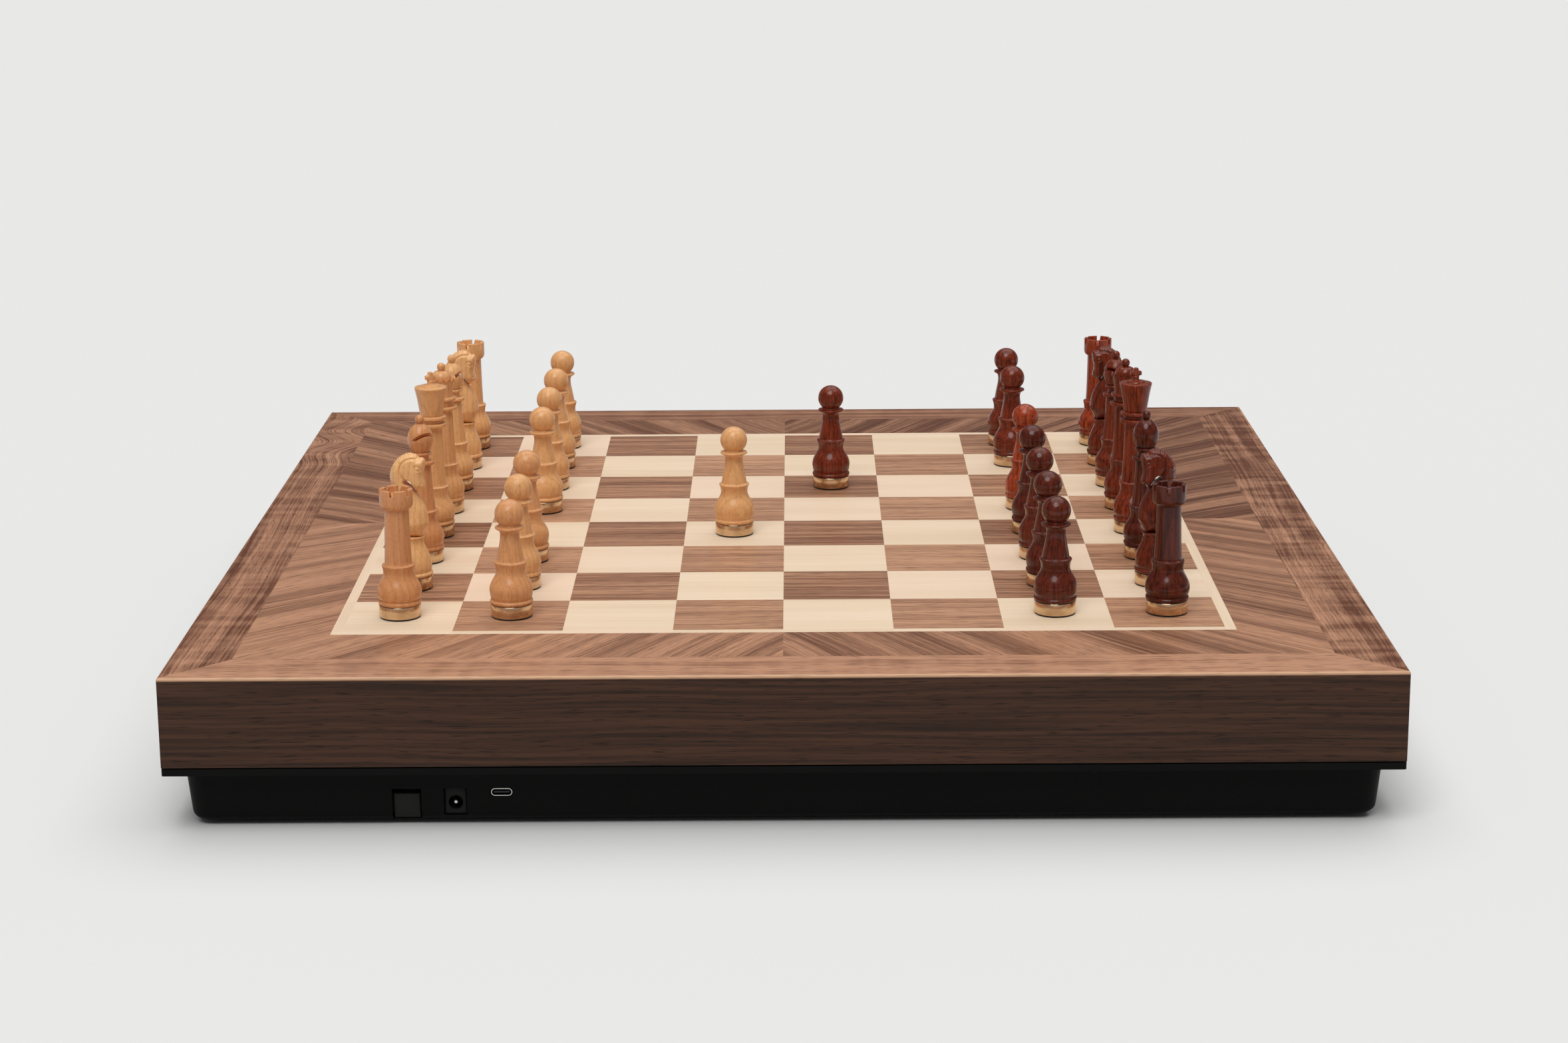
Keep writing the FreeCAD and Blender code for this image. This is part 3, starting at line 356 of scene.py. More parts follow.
def veneer_walnut():
    """Walnut of the dark squares, grain across the board, and of the border, grain to its corners."""
    s = Surface("walnut_veneer", **satin)
    x, y = s.split(s.here())[:2]
    cell, (first, second, third) = s.square_of_board()
    odd_row = s.math("PINGPONG", cell[1], 1.0)
    shade = s.add(s.times(odd_row, odd_row_shade), s.span(first, 0, 1, *square_shades))
    squares, square_pits = walnut(s, s.add(x, second), s.add(y, third), s.times(first, square_seeds), shade,
                                  square_walnut, stripe=0.34, pitch=120.0)

    wide = s.size(x)
    deep = s.size(y)
    corner = s.add(s.times(s.sign(x), 1.0), s.times(s.sign(y), 2.0))
    along = s.times(s.add(wide, deep), math.sqrt(0.5))
    across = s.times(s.less(wide, deep), math.sqrt(0.5))
    fan = s.math("DIVIDE", across, s.span(along, *fan_reach, *fan_spread))
    tilt = s.add(s.times(s.sign(x), right_shade), s.times(s.sign(y), back_shade))
    border, border_pits = walnut(s, along, s.add(fan, s.times(corner, corner_offset)), corner,
                                 s.add(tilt, border_shade), border_walnut, stripe=0.55, pitch=85.0)

    outside = s.math("GREATER_THAN", s.math("MAXIMUM", wide, deep), border_start)
    pits = s.choose(outside, square_pits, border_pits)
    return s.finish_wood(s.mix(outside, squares, border), veneer_roughness, pits)


def rail_wood(name, lengthwise, seed, shade, curl, swirl):
    """Walnut of one frame rail: curly figure on its top with a painted highlight along its top edge, plain
    straight grain down its outer face, painted dark for shade.
    """
    s = Surface(name, **satin)
    x, y, z = s.split(s.here())
    along, sideways = (x, y) if lengthwise else (y, x)
    across = s.less(z, s.size(sideways))
    on_top = s.span(z, board_top - 2 * edge_depth, board_top - edge_depth)
    from_swirl = s.times(s.less(along, swirl), swirl_narrowness)
    knot = s.math("EXPONENT", s.times(s.times(from_swirl, from_swirl), -1.0))
    wave = s.times(s.math("SINE", s.times(along, swirl_waves)), swirl_reach)
    curved = s.add(across, s.times(knot, wave))
    bars = s.noise(s.place(along, across, seed), curl_waves, 2)
    figure = s.times(s.span(bars, *curl_edges, *curl_shades), curl)
    top, top_pits = walnut(s, along, curved, seed, s.add(figure, shade), rail_walnut, stripe=0.5, pitch=110.0)
    # The outer face: straight-grained walnut painted dark for shade
    shaded_apron, apron_pits = walnut(s, along, s.times(across, apron_stretch), seed + apron_seed, apron_shade,
                               shaded_apron_walnut, stripe=0.15, pitch=120.0, pore=shaded_apron_pore)
    # Painted highlight: the rounded top edge of each rail turns to a light colour
    highlit_edge = s.times(s.below(z, board_top - edge_start), on_top)
    top = s.mix(s.times(highlit_edge, edge_highlight_share), top, painted_edge_highlight)
    pits = s.choose(on_top, apron_pits, top_pits)
    return s.finish_wood(s.mix(on_top, shaded_apron, top), rail_roughness, pits)


def maple():
    """Pale maple of the light squares and of the strips around them."""
    s = Surface("maple_inlay", **satin)
    x, y = s.split(s.here())[:2]
    first, second, third = s.square_of_board()[1]
    side_strip = s.math("GREATER_THAN", s.size(x), squares_half)
    along = s.choose(side_strip, x, y)
    across = s.choose(side_strip, y, x)
    grain = s.place(along, s.add(across, second), s.times(third, maple_seeds))
    fine = s.noise(grain, maple_line_waves, 3)
    broad = s.noise(grain, maple_band_waves, 2)
    flecks = s.noise(grain, maple_fleck_waves, 1)
    dark, light = maple_ground
    tone = s.add(s.span(fine, *maple_line_edges, 0.0, 0.5), s.span(broad, *maple_band_edges, 0.0, 0.5))
    colour = s.mix(tone, dark, light)
    colour = s.mix(s.span(first, *blush_edges, 0.0, 0.55), colour, maple_blush)
    colour = s.mix(s.span(flecks, *maple_fleck_edges, 0.0, 0.35), colour, dark)
    return s.finish(colour, veneer_roughness, fine, maple_depth)


def turned_wood(name, warm, pale, streak, pore_colour, pore_amount, **constants):
    """Lacquered wood of the pieces, grain upright; each piece has its own tone and place in the log."""
    s = Surface(name, **constants)
    tone = s.property("tone")
    seed = s.property("seed")
    turn = s.times(seed, turn_per_seed)
    turned = s.node("VectorRotate", {"Vector": s.here(), "Axis": (0, 0, 1), "Angle": turn},
                    rotation_type="AXIS_ANGLE")
    x, y, z = s.split(turned)
    grain = s.place(s.add(x, seed), y, z)
    wander = s.noise(grain, wander_waves, 2)
    from_heart = s.length(s.add(x, s.span(seed, 0.0, seed_range, *heart_distances)), y)
    rings = s.math("FRACT", s.add(s.times(from_heart, rings_per_metre), s.times(wander, ring_wander)))
    late = s.times(s.span(rings, *late_wood_edges), s.span(rings, 1.0, late_wood_edges[1]))
    flecks = s.noise(grain, fleck_waves, 1)
    streaks = s.noise(grain, streak_waves, 3)
    dark = s.mix(tone, pale[0], warm[0])
    light = s.mix(tone, pale[1], warm[1])
    depth = s.add(s.times(late, late_wood_share), s.span(streaks, *streak_edges, 0.0, streak))
    pits = s.span(flecks, *fleck_edges)
    colour = s.mix(s.times(pits, pore_amount), s.mix(depth, light, dark), pore_colour)
    roughness = s.add(s.times(pits, fleck_roughness), lacquer_roughness)
    return s.finish(colour, roughness, s.times(pits, -1.0), fleck_depth)


def brass():
    """Turned brass: fine grooves around its axis, and a faint patina."""
    s = Surface("brass", Metallic=1.0, Anisotropic=0.75, Anisotropic_Rotation=0.25)
    s.put(s.shader.inputs["Tangent"], s.node("Tangent", {}, direction_type="RADIAL", axis="Z"))
    grooves = s.noise(s.here(), brass_groove_waves, 2)
    patina = s.noise(s.here(), brass_patina_waves, 3)
    colour = s.mix(s.span(patina, *patina_edges), brass_bright, brass_patina)
    return s.finish(colour, s.span(grooves, *groove_edges, *brass_roughness), grooves, brass_depth)


def felt():
    s = Surface("felt", Sheen_Weight=0.3, Sheen_Roughness=0.5)
    fibres = s.even_noise(felt_waves, 3)
    colour = s.mix(fibres, (0.006, 0.006, 0.006, 1), (0.022, 0.021, 0.021, 1))
    return s.finish(colour, felt_roughness, fibres, felt_depth)


def moulded(name, dark, light, roughness, waves=moulded_waves, **constants):
    """Moulded or painted surfaces with a fine even texture and faint larger clouding."""
    s = Surface(name, **constants)
    texture = s.even_noise(waves)
    clouds = s.even_noise(cloud_waves, 3)
    colour = s.mix(s.add(s.times(texture, 0.5), s.times(clouds, 0.5)), dark, light)
    return s.finish(colour, s.add(roughness, s.times(clouds, cloud_roughness)), texture, moulded_depth)


def metal(name, dark, light, roughness, waves):
    """Drawn or turned metal, its scratches stretched along one direction."""
    s = Surface(name, Metallic=1.0)
    scratches = s.noise(s.here(), waves, 3)
    colour = s.mix(scratches, dark, light)
    return s.finish(colour, s.add(roughness, s.times(scratches, scratch_roughness)), scratches, scratch_depth)


def power_socket():
    """Black socket body whose centre pin has a painted highlight: bright in the middle of its end, dark
    towards its rim.
    """
    low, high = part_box("dc_jack")
    s = Surface("socket_plastic", Specular_IOR_Level=0.15)
    x, _, z = s.split(s.here())
    radius = s.length(s.less(x, (low.x + high.x) / 2), s.less(z, jack_axis_z))
    pin = s.below(radius, jack_pin_radius)
    texture = s.even_noise(moulded_waves)
    plastic = s.mix(texture, (0.005, 0.005, 0.005, 1), (0.015, 0.015, 0.014, 1))
    # Painted highlight on the pin's flat end, bright in the middle and fading dark towards its edge
    rim = s.span(radius, 0.3 * jack_pin_radius, 0.8 * jack_pin_radius)
    painted_pin_highlight = s.mix(rim, (0.85, 0.84, 0.80, 1), (0.05, 0.05, 0.05, 1))
    s.put(s.shader.inputs["Metallic"], pin)
    return s.finish(s.mix(pin, plastic, painted_pin_highlight), s.choose(pin, 0.48, 0.25), texture, moulded_depth)


def data_socket():
    """Drawn shell of the data socket, bright at its lip and painted near black behind it for the shade in its
    mouth, with a black tongue in its mouth.
    """
    low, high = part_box("usb_c_socket")
    s = Surface("usb_shell")
    x, y, z = s.split(s.here())
    sideways = s.size(s.less(x, (low.x + high.x) / 2))
    upward = s.size(s.less(z, (low.z + high.z) / 2))
    tongue = s.times(s.below(sideways, tongue_half_width), s.below(upward, tongue_half_height))
    brushed = s.noise(s.here(), drawn_waves, 2)
    bright = s.mix(brushed, (0.55, 0.54, 0.50, 1), (0.80, 0.78, 0.72, 1))
    # Painted shade: the metal behind the bright front lip is near black, for the shade inside the socket
    shaded_shell = s.mix(s.below(y, low.y + shell_lip), (0.035, 0.034, 0.032, 1), bright)
    s.put(s.shader.inputs["Metallic"], s.less(1.0, tongue))
    colour = s.mix(tongue, shaded_shell, (0.015, 0.015, 0.015, 1))
    return s.finish(colour, s.choose(tongue, 0.28, 0.5), brushed, scratch_depth)


def circuit(name):
    """Green solder mask with faint traces under it."""
    s = Surface(name)
    mask_roughness = 0.38
    mask_depth = 0.00002
    trace_colour = (0.05, 0.22, 0.10, 1)
    traces = s.node("TexBrick", {"Vector": s.here(), "Scale": 90.0, "Mortar Size": 0.02}, "Fac")
    mottle = s.even_noise(400.0)
    green = s.mix(mottle, (0.010, 0.085, 0.040, 1), (0.018, 0.130, 0.062, 1))
    return s.finish(s.mix(s.times(traces, 0.5), green, trace_colour), mask_roughness, mottle, mask_depth)


def plywood():
    """Layers of the hidden core."""
    s = Surface("plywood")
    layer_thickness = 0.0008
    sawn_roughness = 0.7
    sawn_depth = 0.00004
    z = s.split(s.here())[2]
    layers = s.math("PINGPONG", s.times(z, 1 / layer_thickness), 1.0)
    fibres = s.noise(s.here(), (40.0, 900.0, 900.0), 3)
    amount = s.add(s.times(layers, 0.5), s.times(fibres, 0.5))
    colour = s.mix(amount, (0.30, 0.19, 0.10, 1), (0.60, 0.44, 0.27, 1))
    return s.finish(colour, sawn_roughness, fibres, sawn_depth)


def smooth(points, steps=curve_steps):
    """Points along a curve that runs smoothly through the given ones."""
    line = [Vector(point) for point in points]
    padded = [line[0], *line, line[-1]]
    run = []
    for before, start, end, after in zip(padded, padded[1:], padded[2:], padded[3:]):
        for step in range(steps):
            t = step / steps
            run.append((start * 2 + (end - before) * t
                        + (before * 2 - start * 5 + end * 4 - after) * t ** 2
                        + (start * 3 - before - end * 3 + after) * t ** 3) / 2)
    return run + [line[-1]]


def straight(*points):
    return [Vector(point) for point in points]


def arc(radius, height, bend, start, end, steps=arc_steps):
    """Points on an arc of radius bend about (radius, height), between two angles in degrees."""
    angles = [math.radians(start + (end - start) * step / steps) for step in range(steps + 1)]
    return [Vector((radius + bend * math.cos(angle), height + bend * math.sin(angle))) for angle in angles]


def ease(t):
    return t * t * (3 - 2 * t)


def lathe(line, columns=piece_columns):
    """A closed mesh of revolution about Z from an outline that starts and ends on the axis."""
    bm = bmesh.new()
    turns = [2 * math.pi * column / columns for column in range(columns)]
    rings = []
    last = None
    for radius, height in line:
        point = Vector((max(radius, 0), height))
        if last is not None and (point - last).length < weld:
            continue
        last = point
        if radius < weld:
            rings.append([bm.verts.new((0, 0, height))])
            continue
        circle = [(radius * math.cos(turn), radius * math.sin(turn), height) for turn in turns]
        rings.append([bm.verts.new(corner) for corner in circle])
    for lower, upper in zip(rings, rings[1:]):
        for column in range(columns):
            after = (column + 1) % columns
            corners = [lower[column % len(lower)], lower[after % len(lower)],
                       upper[after % len(upper)], upper[column % len(upper)]]
            corners = list(dict.fromkeys(corners))
            if len(corners) > 2:
                bm.faces.new(corners)
    return mesh_of(bm)


def mesh_of(bm):
    mesh = bpy.data.meshes.new("shape")
    bm.to_mesh(mesh)
    bm.free()
    return mesh


def applied(mesh, *modifiers):
    """The mesh after modifiers, each given as (type, settings)."""
    holder = bpy.data.objects.new("holder", mesh)
    bpy.context.scene.collection.objects.link(holder)
    for kind, settings in modifiers:
        modifier = holder.modifiers.new(kind.lower(), kind)
        for key, value in settings.items():
            setattr(modifier, key, value)
    depsgraph = bpy.context.evaluated_depsgraph_get()
    shaped = bpy.data.meshes.new_from_object(holder.evaluated_get(depsgraph))
    bpy.data.objects.remove(holder)
    return shaped


def combined(mesh, other, operation):
    """The exact boolean of two meshes."""
    tool = bpy.data.objects.new("tool", other)
    bpy.context.scene.collection.objects.link(tool)
    shaped = applied(mesh, ("BOOLEAN", {"object": tool, "operation": operation, "solver": "EXACT"}),
                     ("WELD", {"merge_threshold": weld}))
    bpy.data.objects.remove(tool)
    return shaped


def softened(mesh, width, angle=40):
    """The mesh with its sharp edges rounded over by a width in its own units."""
    return applied(mesh, ("BEVEL", {"width": width, "segments": 2, "limit_method": "ANGLE",
                                    "angle_limit": math.radians(angle)}))


def box_mesh(size, matrix):
    bm = bmesh.new()
    bmesh.ops.create_cube(bm, size=1.0, matrix=matrix @ Matrix.Diagonal((*size, 1)))
    return mesh_of(bm)


def bead():
    """The underside of the wood and the bead above the brass, which start every outline."""
    line = straight((0, wood_z), (bead_middle, wood_z))
    return line + arc(bead_middle, wood_z + bead_bend, bead_bend, -85, 75)


def foot(bulge, bulge_z, neck, neck_z, lip, lip_z, steps=14):
    """The outline that the turned pieces share, from the underside of the wood to the lip."""
    line = bead()
    shoulder = (bulge - shoulder_inset, groove_z + shoulder_rise)
    line += smooth([(groove_radius, groove_z), shoulder, (bulge, bulge_z)])
    for step in range(1, steps + 1):
        t = step / steps
        belly = bulge - (bulge - neck) * ease(t ** belly_power)
        line.append(Vector((belly, bulge_z + (neck_z - bulge_z) * t)))
    for step in range(1, steps):
        t = step / steps
        flare = neck + (lip - lip_inset - neck) * t ** flare_power
        line.append(Vector((flare, neck_z + (lip_z - neck_z) * t)))
    line += arc(lip - lip_bend, lip_z + lip_bend, lip_bend, -20, 80, 6)
    return line + straight((stem_foot_radius + stem_foot_step, lip_z + 2 * lip_bend + stem_foot_step))


def stem(foot_z, top_radius, top_z):
    """The tapered stem: faster at its foot, nearly straight above."""
    middle_z = foot_z + (top_z - foot_z) * stem_bend_height
    middle = stem_foot_radius + (top_radius - stem_foot_radius) * stem_bend_share
    return smooth([(stem_foot_radius, foot_z), (middle, middle_z), (top_radius, top_z)], 8)


def collar(radius, z, height, inner):
    """A disc with a rounded rim, between two narrower parts of the outline."""
    half = height / 2
    line = straight((inner, z - half - collar_foot), (radius - collar_flat, z - half))
    line += arc(radius - collar_bend, z - half + collar_bend, collar_bend, -80, 0, 4)
    line += arc(radius - collar_bend, z + half - collar_bend, collar_bend, 0, 80, 4)
    return line + straight((inner, z + half + collar_head))


def ball(z, radius, neck):
    """A ball on the axis, from the radius of the neck under it to its top."""
    start = -math.degrees(math.acos(neck / radius))
    return arc(0, z, radius, start, 90, 22)[:-1] + straight((0, z + radius))


def pawn():
    line = foot(bulge=9.6, bulge_z=12.0, neck=6.42, neck_z=20.9, lip=7.2, lip_z=24.3)
    line += smooth([(6.0, 26.0), (5.6, 28.5), (5.0, 31.5), (4.45, 34.5), (4.25, 37.0), (4.6, 38.7),
                    (5.6, 39.7)])
    line += arc(6.0, 40.4, 0.5, -80, 80, 6)
    line += straight((4.6, 41.3))
    line += ball(z=46.6, radius=6.45, neck=4.4)
    return softened(lathe(line), turned_edge)


def rook():
    line = foot(bulge=9.9, bulge_z=11.2, neck=6.82, neck_z=20.2, lip=7.35, lip_z=23.2)
    line += stem(foot_z=25.0, top_radius=5.4, top_z=48.8)
    line += smooth([(5.45, 49.1), (6.3, 49.5), (7.1, 50.5), (7.35, 51.8)])
    line += arc(7.0, 57.85, 0.35, 0, 90, 4)
    line += arc(5.6, 57.9, 0.3, 90, 180, 3)
    line += straight((5.3, 55.3), (5.0, 55.1), (0, 54.9))
    shape = lathe(line)
    slots = 3
    slot_size = (20, 1.9, 4.0)
    slot_middle = Matrix.Translation((0, 0, 57.5))
    first_turn = 0.35
    sawn_edge = 0.16
    for slot in range(slots):
        turn = Matrix.Rotation(math.pi * (slot + first_turn) / slots, 4, "Z")
        shape = combined(shape, box_mesh(slot_size, turn @ slot_middle), "DIFFERENCE")
    return softened(shape, sawn_edge)


def bishop():
    line = foot(bulge=9.7, bulge_z=11.6, neck=6.4, neck_z=20.6, lip=7.15, lip_z=24.0)
    line += stem(foot_z=25.8, top_radius=4.5, top_z=46.2)
    line += collar(radius=6.2, z=47.6, height=1.6, inner=3.9)
    line += straight((3.7, 49.4), (3.7, 50.6))
    line += collar(radius=5.0, z=52.0, height=1.3, inner=3.9)
    line += smooth([(3.9, 53.0), (4.4, 53.3), (5.4, 55.6), (6.0, 58.6), (5.5, 61.6), (4.3, 63.9), (2.6, 65.6),
                    (1.3, 66.3)])
    line += ball(z=68.1, radius=2.15, neck=1.25)
    slit_size = (9.0, 16, 1.5)
    slit_middle = Matrix.Translation((5.4, 0, 61.6))
    slit_slant = Matrix.Rotation(math.radians(-42), 4, "Y")
    shape = combined(lathe(line), box_mesh(slit_size, slit_middle @ slit_slant), "DIFFERENCE")
    return softened(shape, turned_edge)


def queen():
    line = foot(bulge=9.7, bulge_z=11.6, neck=6.5, neck_z=20.6, lip=7.15, lip_z=24.1)
    line += stem(foot_z=25.9, top_radius=4.9, top_z=51.8)
    line += collar(radius=7.3, z=53.3, height=1.5, inner=5.2)
    line += straight((5.4, 54.6), (5.35, 56.5))
    line += collar(radius=6.8, z=57.8, height=1.5, inner=5.2)
    line += smooth([(5.1, 59.0), (5.3, 61.5), (5.75, 64.5), (6.4, 67.2)])
    rim = straight((6.95, 68.7), (6.35, 68.6))
    line += rim
    line += straight((5.75, 66.9), (5.35, 66.8))
    line += smooth([(5.3, 67.2), (4.9, 69.4), (3.6, 71.1), (1.9, 71.85), (1.25, 72.0)])
    line += ball(z=73.6, radius=2.1, neck=1.2)
    points = 14
    columns_per_point = 8
    point_depth = 1.55
    rim_heights = {round(point.y, 3) for point in rim}
    shape = lathe(line, points * columns_per_point)
    for vertex in shape.vertices:
        if round(vertex.co.z, 3) in rim_heights:
            turn = math.atan2(vertex.co.y, vertex.co.x) * points / (2 * math.pi)
            vertex.co.z -= point_depth * abs(2 * (turn - math.floor(turn + 0.5)))
    return shape


def block_cross(cell, reach):
    """A plump cross in the XZ plane: a cube with four arms that stand out by a share of its side."""
    bm = bmesh.new()
    sides = straight((1, 0, 0), (-1, 0, 0), (0, 1, 0), (0, -1, 0), (0, 0, 1), (0, 0, -1))
    cells = {(0, 0), (1, 0), (-1, 0), (0, 1), (0, -1)}
    end = 0.5 + reach
    for column, row in cells:
        middle = Vector((column, 0, row))
        for side in sides:
            if side.y == 0 and (column + side.x, row + side.z) in cells:
                continue
            one = side.yzx
            two = side.cross(one)
            face = []
            for a, b in ((-1, -1), (1, -1), (1, 1), (-1, 1)):
                corner = middle + (side + one * a + two * b) / 2
                face.append(bm.verts.new([min(max(value, -end), end) * cell for value in corner]))
            bm.faces.new(face)
    bmesh.ops.remove_doubles(bm, verts=bm.verts, dist=weld)
    bmesh.ops.recalc_face_normals(bm, faces=bm.faces)
    return mesh_of(bm)


def king():
    line = foot(bulge=9.8, bulge_z=11.6, neck=6.6, neck_z=20.6, lip=7.15, lip_z=24.1)
    line += stem(foot_z=25.9, top_radius=4.95, top_z=53.6)
    line += collar(radius=7.25, z=55.2, height=1.6, inner=5.3)
    line += straight((5.45, 56.5), (5.4, 57.5))
    line += collar(radius=7.0, z=58.7, height=1.5, inner=5.3)
    line += smooth([(5.5, 60.0), (6.05, 64.0), (6.8, 68.6), (7.7, 72.8)])
    line += arc(7.3, 73.2, 0.45, -10, 90, 5)
    line += straight((4.75, 73.9), (4.5, 74.5), (1.9, 74.9))
    line += smooth([(1.7, 75.0), (1.5, 75.6), (1.6, 76.4), (1.2, 76.9), (0, 77.0)])
    body = softened(lathe(line), turned_edge)
    cross_middle_z = 78.2
    cross_edge = 0.62
    blocks = softened(block_cross(cell=2.3, reach=0.7), cross_edge)
    cross = applied(blocks, ("SUBSURF", {"levels": 1, "render_levels": 1}))
    cross.transform(Matrix.Translation((0, 0, cross_middle_z)))
    return combined(body, cross, "UNION")


# The knight faces +X. Its head and neck are an outline in the XZ plane, swelled to both sides.
knight_chest = [(5.7, 24.3), (6.0, 26.2), (6.9, 27.8), (8.1, 29.9), (8.4, 32.0), (7.5, 37.1), (5.6, 41.3),
                (3.1, 45.3)]
knight_slit = [(3.1, 45.3), (1.2, 47.4), (-1.3, 49.5), (-1.9, 50.2), (-1.4, 50.8), (0.4, 50.5), (1.7, 48.6),
               (3.1, 46.1)]
knight_muzzle = [(3.1, 46.1), (3.6, 45.2), (4.7, 45.4), (5.4, 46.6), (6.4, 46.7), (7.3, 47.6), (7.45, 49.0)]
knight_face = [(7.45, 49.0), (6.8, 51.6), (6.7, 53.6), (7.3, 56.0), (7.7, 58.6), (7.3, 60.4), (6.1, 61.1)]
knight_ear = [(6.1, 61.1), (5.3, 60.9), (4.8, 61.6)]
knight_mane = [(4.8, 61.6), (3.6, 62.8), (0.2, 63.5), (-3.6, 61.9), (-6.6, 58.9), (-8.6, 54.6), (-8.7, 50.6),
               (-8.0, 47.6)]
knight_back = [(-8.0, 47.6), (-7.3, 44.0), (-6.7, 40.0), (-6.6, 35.0), (-6.8, 31.0), (-6.4, 28.0),
               (-5.8, 25.5), (-5.7, 24.3)]
mane_tooth = 1.2
mane_depth = 0.85

# Half the knight's thickness, and how far in from its edge the swell reaches, each by height
knight_thickness = [(24.3, 5.75), (27.0, 6.4), (31.0, 7.1), (38.0, 6.1), (45.0, 4.9), (55.0, 4.9),
                    (60.0, 4.2), (64.0, 3.2)]
knight_rounding = [(24.3, 5.75), (31.0, 7.3), (40.0, 5.4), (47.0, 3.6), (55.0, 3.0), (64.0, 2.4)]
slit_rounding = 0.9
knight_grid = 0.5
knight_columns = range(-19, 18)
knight_rows = range(48, 130)
knight_voxel = 0.26
nearest_points = 0.02
on_edge = 1e-4

# Carving on the sides of the knight's head
carving_fade = 1.5
cheek_x = 1.6
cheek_z = 55.6
cheek_radius = 5.3
cheek_start = 66
cheek_end = 242
cheek_fade = 14
eye_x = 4.5
eye_z = 56.6
eye_length = 1.5
eye_height = 0.85
eye_tilt = math.radians(-28)
nostril_x = 6.1
nostril_z = 49.2
mouth_x = 4.6
mouth_z = 47.7


def toothed(points):
    """A curve with rounded teeth cut into it, their tips on the curve."""
    line = smooth(points, 16)
    walked = 0.0
    cut = []
    for before, here, after in zip([line[0], *line], line, [*line[1:], line[-1]]):
        walked += (here - before).length
        step = after - before
        inward = Vector((-step.y, step.x)).normalized()
        cut.append(here + inward * mane_depth * (1 - abs(math.sin(math.pi * walked / mane_tooth))))
    return cut


def distance_to(line, points):
    """The distance of each point to a line of points, all in one plane."""
    starts = numpy.array([tuple(point) for point in line[:-1]])
    spans = numpy.array([tuple(point) for point in line[1:]]) - starts
    lengths = numpy.maximum((spans ** 2).sum(1), 1e-12)
    nearest = numpy.full(len(points), numpy.inf)
    for start, span, length in zip(starts, spans, lengths):
        share = numpy.clip((points - start) @ span / length, 0, 1)
        nearest = numpy.minimum(nearest, numpy.linalg.norm(points - start - share[:, None] * span, axis=1))
    return nearest


def by_height(values, height):
    return numpy.interp(height, [value[0] for value in values], [value[1] for value in values])


def rise(distance, width):
    """A quarter round: 0 at the edge, 1 from a width inwards."""
    near = 1 - numpy.minimum(distance / width, 1)
    return numpy.sqrt(1 - near ** 2)


def knight_head():
    """Head and neck: a grid inside the outline, swelled by its distance from the edge."""
    chest = smooth(knight_chest, 6)
    slit = smooth(knight_slit, 8)
    rest = smooth(knight_muzzle, 6) + smooth(knight_face, 6) + smooth(knight_ear, 4) + toothed(knight_mane)
    rest += smooth(knight_back, 6)
    outline = []
    for point in [*chest, *slit, *rest]:
        if not outline or (point - outline[-1]).length > nearest_points:
            outline.append(point)
    if (outline[0] - outline[-1]).length < nearest_points:
        outline.pop()
    grid = [Vector((column, row)) * knight_grid for column in knight_columns for row in knight_rows]
    flat = delaunay_2d_cdt(outline + grid, [], [list(range(len(outline)))], 1, 1e-5)
    faces = flat[2]
    points = numpy.array([tuple(point) for point in flat[0]])
    heights = points[:, 1]
    from_edge = rise(distance_to(rest + chest, points), by_height(knight_rounding, heights))
    from_slit = rise(distance_to(slit, points), slit_rounding)
    swell = numpy.minimum(from_edge, from_slit) * by_height(knight_thickness, heights)
    edge = distance_to(outline + [outline[0]], points) < on_edge
    bm = bmesh.new()
    right = {}
    left = {}
    for index in {index for face in faces for index in face}:
        x, z = points[index]
        if edge[index]:
            right[index] = bm.verts.new((x, 0, z))
            left[index] = right[index]
        else:
            right[index] = bm.verts.new((x, -swell[index], z))
            left[index] = bm.verts.new((x, swell[index], z))
    for face in faces:
        if all(edge[index] for index in face):
            continue
        bm.faces.new([right[index] for index in face])
        bm.faces.new([left[index] for index in reversed(face)])
    bmesh.ops.recalc_face_normals(bm, faces=bm.faces)
    head = applied(mesh_of(bm), ("REMESH", {"mode": "VOXEL", "voxel_size": knight_voxel}),
                   ("SMOOTH", {"factor": 0.5, "iterations": 3}))
    for vertex in head.vertices:
        x, y, z = vertex.co
        vertex.co.y -= math.copysign(carving(x, z), y) * ease(min(abs(y) / carving_fade, 1))
    return head


def groove(off_line, half_width, depth):
    """Depth of a rounded groove at a distance off its line."""
    return depth * math.exp(-(off_line / half_width) ** 2)


def carving(x, z):
    """How deep the knife went into the side of the head at a place on it."""
    turn = math.degrees(math.atan2(z - cheek_z, x - cheek_x)) % 360
    starts = ease(min(max((turn - cheek_start) / cheek_fade, 0), 1))
    ends = ease(min(max((cheek_end - turn) / cheek_fade, 0), 1))
    off_cheek = math.hypot(x - cheek_x, z - cheek_z) - cheek_radius
    cheek = groove(off_cheek, half_width=0.5, depth=0.75) * starts * ends
    u = (x - eye_x) * math.cos(eye_tilt) + (z - eye_z) * math.sin(eye_tilt)
    v = (z - eye_z) * math.cos(eye_tilt) - (x - eye_x) * math.sin(eye_tilt)
    eye = groove(math.hypot(u / eye_length, v / eye_height) - 1, half_width=0.3, depth=0.4)
    nostril = groove(math.hypot(x - nostril_x, z - nostril_z), half_width=0.6, depth=0.5)
    mouth = groove(z - mouth_z, half_width=0.3, depth=0.35) if x > mouth_x else 0
    return cheek + eye + nostril + mouth


def knight():
    line = bead()
    line += smooth([(groove_radius - 0.1, groove_z), (9.1, 10.6), (8.7, 13.6), (7.6, 17.0), (6.2, 20.2),
                    (5.75, 22.4), (6.0, 23.9)])
    line += arc(6.0, 24.35, 0.35, -60, 90, 4)
    line += straight((0, 24.7))
    return combined(softened(lathe(line), turned_edge), knight_head(), "UNION")


